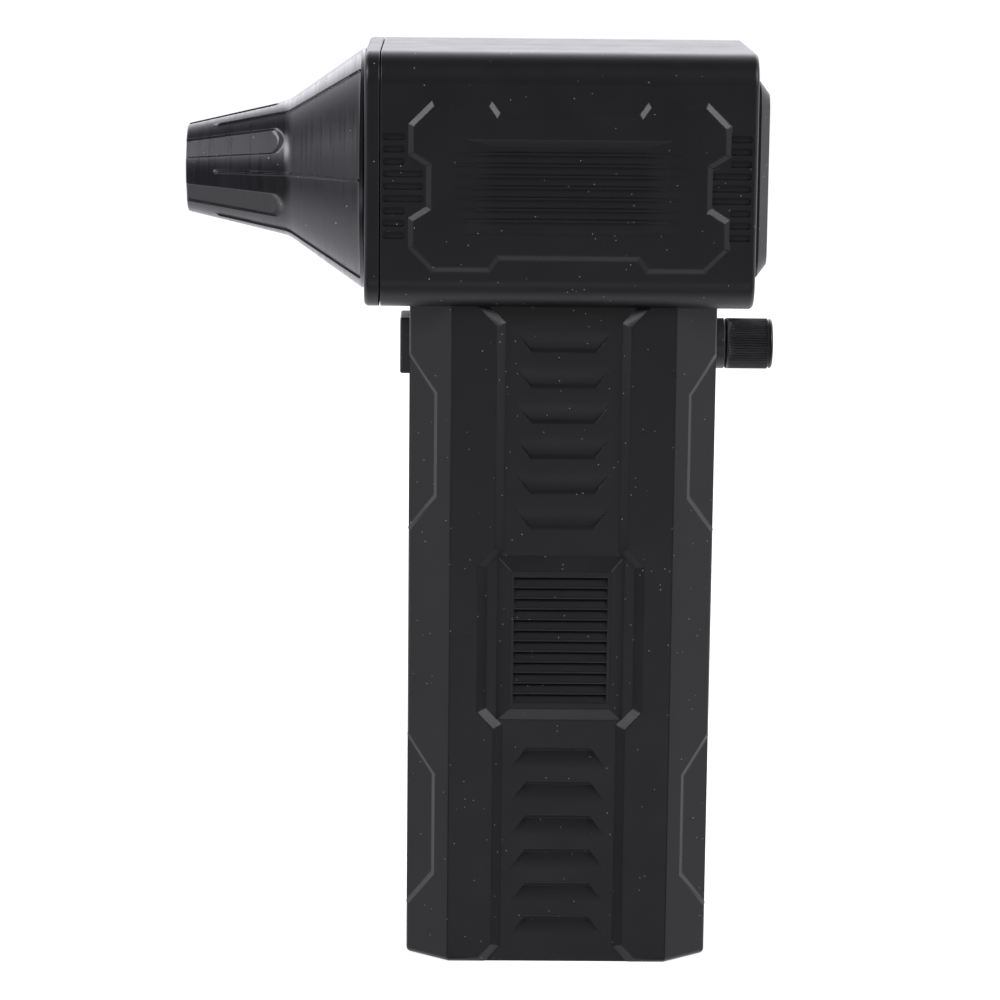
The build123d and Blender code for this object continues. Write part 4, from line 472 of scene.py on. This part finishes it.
def fluted_nozzle():
    """Nozzle with six flutes and six ribs, a surface r(x, t) turned about the fan axis.

    r(x, t) = cone(x) + rib(x, t) - flute(x, t). cone(x) is the turned outline. A flute sinks to a floor that
    is flat across, (cone(x) - depth) / cos(t), through a steep side wall and a longer ramp at its inner end,
    each a smooth step. The ramp bends back by the square of the way across, so that the end is an arc. A rib
    rises by a smooth step each side of its middle and fades in at its start.
    """
    low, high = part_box("nozzle")
    mouth, axis_z = low.x, (low.z + high.z) / 2
    slope_end, bore_end = mouth + 22.0 * MM, mouth + 33.3 * MM
    rim, rim_back, spigot_end = -43.95 * MM, -42.95 * MM, -37.1 * MM
    mouth_radius, slope_radius, foot_radius = 9.6 * MM, 14.75 * MM, 25.7 * MM
    rim_radius, spigot_radius, spigot_bore = 25.9 * MM, 22.4 * MM, 20.9 * MM
    slope_bore, outlet_bore, outlet_length = 12.75 * MM, 8.0 * MM, 6.0 * MM
    lip, lip_lead, rim_edge, spigot_edge = 0.5 * MM, 0.1 * MM, 0.15 * MM, 0.2 * MM
    outlet_edge, outlet_flare = 0.3 * MM, 0.2 * MM
    cone = [(mouth + lip - lip * cos(a), mouth_radius - lip + lip * sin(a) + lip_lead)
            for a in np.linspace(0, pi / 2, 7)]
    cone += [(x, np.interp(x, (mouth, slope_end), (mouth_radius, slope_radius)))
             for x in np.linspace(mouth + 0.9 * MM, slope_end - 0.5 * MM, 56)]
    cone += [(x, np.interp(x, (slope_end, rim), (slope_radius, foot_radius)))
             for x in np.linspace(slope_end + 0.5 * MM, rim - 0.1 * MM, 32)]
    back = [(rim, foot_radius + 0.02 * MM), (rim + 0.03 * MM, rim_radius - rim_edge),
            (rim + rim_edge, rim_radius), (rim_back - 0.1 * MM, rim_radius),
            (rim_back, rim_radius - 0.1 * MM), (rim_back, spigot_radius),
            (spigot_end - spigot_edge, spigot_radius), (spigot_end, spigot_radius - spigot_edge)]
    inside = [(spigot_end, spigot_bore), (bore_end, spigot_bore), (slope_end, slope_bore),
              (mouth + outlet_length, outlet_bore), (mouth + outlet_edge, outlet_bore),
              (mouth, outlet_bore + outlet_flare)]
    x, r = np.array(cone + back + inside).T
    sector = np.radians(sector_angles())
    turns = np.radians(np.arange(6) * 60.0)
    t = (turns[:, None] + sector[None, :-1]).ravel()
    from_flute = np.tile(sector[:-1], 6)
    from_rib = radians(30.0) - np.abs(from_flute)
    outer_skin = (np.arange(len(x)) < len(cone))[:, None]

    flute_half, flute_spread, flute_depth, flute_wall = 2.1 * MM, 0.0388, 0.67 * MM, 0.4 * MM
    flute_end, flute_arc, flute_ramp = 21.9 * MM, 1.6 * MM, 1.3 * MM
    slope = np.arctan((slope_radius - mouth_radius) / (slope_end - mouth))
    along = ((x - mouth) / cos(slope))[:, None]
    half_width = flute_half + along * flute_spread
    across = r[:, None] * np.sin(np.abs(from_flute))[None, :]
    bent_back = flute_arc * np.clip(across / half_width, 0, 1) ** 2
    sunk = step((half_width + flute_wall / 2 - across) / flute_wall)
    sunk = sunk * step((flute_end - bent_back - along) / flute_ramp)
    floor = (r[:, None] - flute_depth) / np.cos(from_flute)[None, :]

    rib_half, rib_flank, rib_height, rib_start, rib_fade = 0.47 * MM, 0.34 * MM, 0.4 * MM, 6.0 * MM, 1.0 * MM
    across_rib = r[:, None] * np.sin(from_rib)[None, :]
    raised = step((rib_half - across_rib) / rib_flank) * step((x[:, None] - mouth - rib_start) / rib_fade)
    raised = raised * (x[:, None] < rim - 0.05 * MM)
    shaped = r[:, None] + sunk * np.minimum(floor - r[:, None], 0) + raised * rib_height
    radius = np.where(outer_skin, shaped, np.broadcast_to(r[:, None], shaped.shape))
    points = np.stack([np.broadcast_to(x[:, None], radius.shape), -radius * np.sin(t),
                       axis_z + radius * np.cos(t)], -1)
    ring = grid_quads(len(x), len(t))
    closing = grid_quads(2, len(t))
    closing[closing >= len(t)] -= len(t)
    closing[:, :2] += (len(x) - 1) * len(t)
    pieces, quads = [points.reshape(-1, 3)], [ring, closing]
    lug_reach, lug_radii, lug_arc = (-39.2 * MM, -37.6 * MM), (22.3 * MM, 23.9 * MM), 30
    for k in range(3):
        lug, lug_quads = ring_sector(axis_z, lug_reach, lug_radii, 90 + 120 * k, lug_arc)
        quads.append(lug_quads + sum(len(p) for p in pieces))
        pieces.append(lug)
    piece = surface_piece("nozzle_fluted", np.concatenate(pieces), np.concatenate(quads))
    smooth_by_angle(piece.data, 35)
    return settle(piece, "nozzle", "nozzle_plastic", finishes["nozzle_plastic"], "nozzle")


def ring_sector(axis_z, reach, radii, middle, arc):
    """Points and quads of a block bent round the axis: x from reach, radius from radii, angle in degrees."""
    steps = 13
    t = np.radians(np.linspace(middle - arc / 2, middle + arc / 2, steps))
    section = np.array([(reach[0], radii[0]), (reach[1], radii[0]),
                        (reach[1], radii[1]), (reach[0], radii[1])])
    points = np.stack([np.broadcast_to(section[:, 0], (steps, 4)), np.cos(t)[:, None] * section[:, 1],
                       axis_z + np.sin(t)[:, None] * section[:, 1]], -1)
    sides = grid_quads(steps, 4)
    last = 4 * (steps - 1)
    ends = np.array([[3, 2, 1, 0], [last, last + 1, last + 2, last + 3]])
    return points.reshape(-1, 3), np.concatenate([sides, ends])


# ---------------------------------------------------------------- all pieces
# radius of the rounded edges in millimetres; pieces that aren't named keep their CAD edges
EASED = {
    "left_housing": 0.22, "right_housing": 0.22, "front_plate": 0.22,
    "trigger_button": 0.15, "knob_collar": 0.2, "charge_port": 0.05,
    "front_plate_screws": 0.06, "rear_cover_screws": 0.06, "housing_screws": 0.06, "light_pipe": 0.1,
}
# the real spring's front end goes in with the button and its rear end stays; its entry names both bodies and
# both end points, but its copy is only fixed in place and doesn't shorten
spring_front, spring_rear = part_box("button_spring")
body_of_node["button_spring"] = ("button", "housing", tuple(spring_front),
                                 (spring_rear.x, spring_front.y, spring_front.z))
for name in sorted(nodes):
    if name not in ("speed_knob", "nozzle"):
        eased_copy(name, EASED.get(name, 0.0), material=blackened if name.endswith("_screws") else None)
knurled_knob()
fluted_nozzle()


# ---------------------------------------------------------------- studio
COOL = "#f4f3fa"


def area_light(name, at, towards, size, radiance):
    """Rectangular soft box, size in metres, facing a point.

    Its power is pi times its area times its radiance.
    """
    light = bpy.data.lights.new(name, "AREA")
    light.shape = "RECTANGLE"
    light.size, light.size_y = size
    light.energy = pi * size[0] * size[1] * radiance
    light.color = linear(COOL)[:3]
    lamp = bpy.data.objects.new(name, light)
    lamp.matrix_world = (Matrix.Translation(at) @
                         (Vector(towards) - Vector(at)).to_track_quat("-Z", "Y").to_matrix().to_4x4())
    bpy.context.scene.collection.objects.link(lamp)


def pale_floor():
    """Wide matt floor, a shade under white, that throws no light back at the object."""
    mesh = bpy.data.meshes.new("floor")
    half, front = 12.0, -0.13
    corners = [(-half, front, 0), (half, front, 0), (half, half, 0), (-half, half, 0)]
    mesh.from_pydata(corners, [], [(0, 1, 2, 3)])
    floor = bpy.data.objects.new("floor", mesh)
    bpy.context.scene.collection.objects.link(floor)
    material, tree, coords = new_material("pale_floor")
    shader = put(tree, "ShaderNodeBsdfPrincipled", {
        "Base Color": linear("#a8a8a8"), "Roughness": 0.9, "Specular IOR Level": 0.0,
        "Emission Color": linear("#ffffff"), "Emission Strength": 0.8})
    close_material(tree, shader)
    mesh.materials.append(material)
    floor.visible_diffuse = floor.visible_glossy = False


def studio_world():
    """Bright behind and below the object and dim in front, as on a white table in a tent open in front.

    The strength follows how far a direction points back, plus half of how far it points down.
    """
    world = bpy.data.worlds.new("studio")
    bpy.context.scene.world = world
    world.use_nodes = True
    tree = world.node_tree
    tree.nodes.clear()
    sight = put(tree, "ShaderNodeTexCoord").outputs["Generated"]
    split = put(tree, "ShaderNodeSeparateXYZ", {"Vector": sight})
    tilted = put(tree, "ShaderNodeMath", {0: split.outputs["Z"], 1: -0.5, 2: split.outputs["Y"]},
                 operation="MULTIPLY_ADD")
    depth = put(tree, "ShaderNodeMapRange", {"Value": tilted.outputs[0], "From Min": -0.42, "From Max": 0.35,
                                             "To Min": 0.11, "To Max": 1.75}, interpolation_type="SMOOTHSTEP")
    surround = put(tree, "ShaderNodeBackground", {"Color": linear(COOL), "Strength": depth.outputs["Result"]})
    seen = put(tree, "ShaderNodeBackground", {"Color": linear("#ffffff"), "Strength": 1.0})
    rays = put(tree, "ShaderNodeLightPath")
    pick = put(tree, "ShaderNodeMixShader", {
        "Fac": rays.outputs["Is Camera Ray"], 1: surround.outputs[0], 2: seen.outputs[0]})
    out = put(tree, "ShaderNodeOutputWorld")
    tree.links.new(pick.outputs[0], out.inputs["Surface"])


def camera():
    """Camera at its place, pitched down, turned towards +X and rolled by the angles above."""
    ahead = Vector((sin(CAMERA_TURN) * cos(CAMERA_PITCH), cos(CAMERA_TURN) * cos(CAMERA_PITCH),
                    -sin(CAMERA_PITCH)))
    level_right = Vector((cos(CAMERA_TURN), -sin(CAMERA_TURN), 0))
    level_up = level_right.cross(ahead)
    right = cos(CAMERA_ROLL) * level_right + sin(CAMERA_ROLL) * level_up
    up = cos(CAMERA_ROLL) * level_up - sin(CAMERA_ROLL) * level_right
    lens = bpy.data.cameras.new("camera")
    lens.lens = LENS_MM
    lens.sensor_width = 36.0
    lens.clip_start, lens.clip_end = 0.01, 60.0
    eye = bpy.data.objects.new("camera", lens)
    eye.matrix_world = Matrix.Translation(CAMERA_AT) @ Matrix((right, up, -ahead)).transposed().to_4x4()
    bpy.context.scene.collection.objects.link(eye)
    bpy.context.scene.camera = eye


middle = Vector((-0.01, 0, 0.12))
for side, place in ((-1, "left"), (1, "right")):
    area_light(place + "_key", (side * 0.82, -0.58, 0.76), middle, (0.5, 0.5), 12.0)
    area_light(place + "_strip", (side * 0.92, -0.50, 0.36), middle, (0.4, 0.7), 1.6)
area_light("front_bounce", (0.0, -1.0, -0.25), middle, (0.9, 0.3), 1.6)
area_light("rear_softbox", (0.0, 0.9, 0.7), middle, (1.4, 0.6), 2.3)
pale_floor()
studio_world()
camera()
bpy.context.scene.view_settings.view_transform = "Standard"
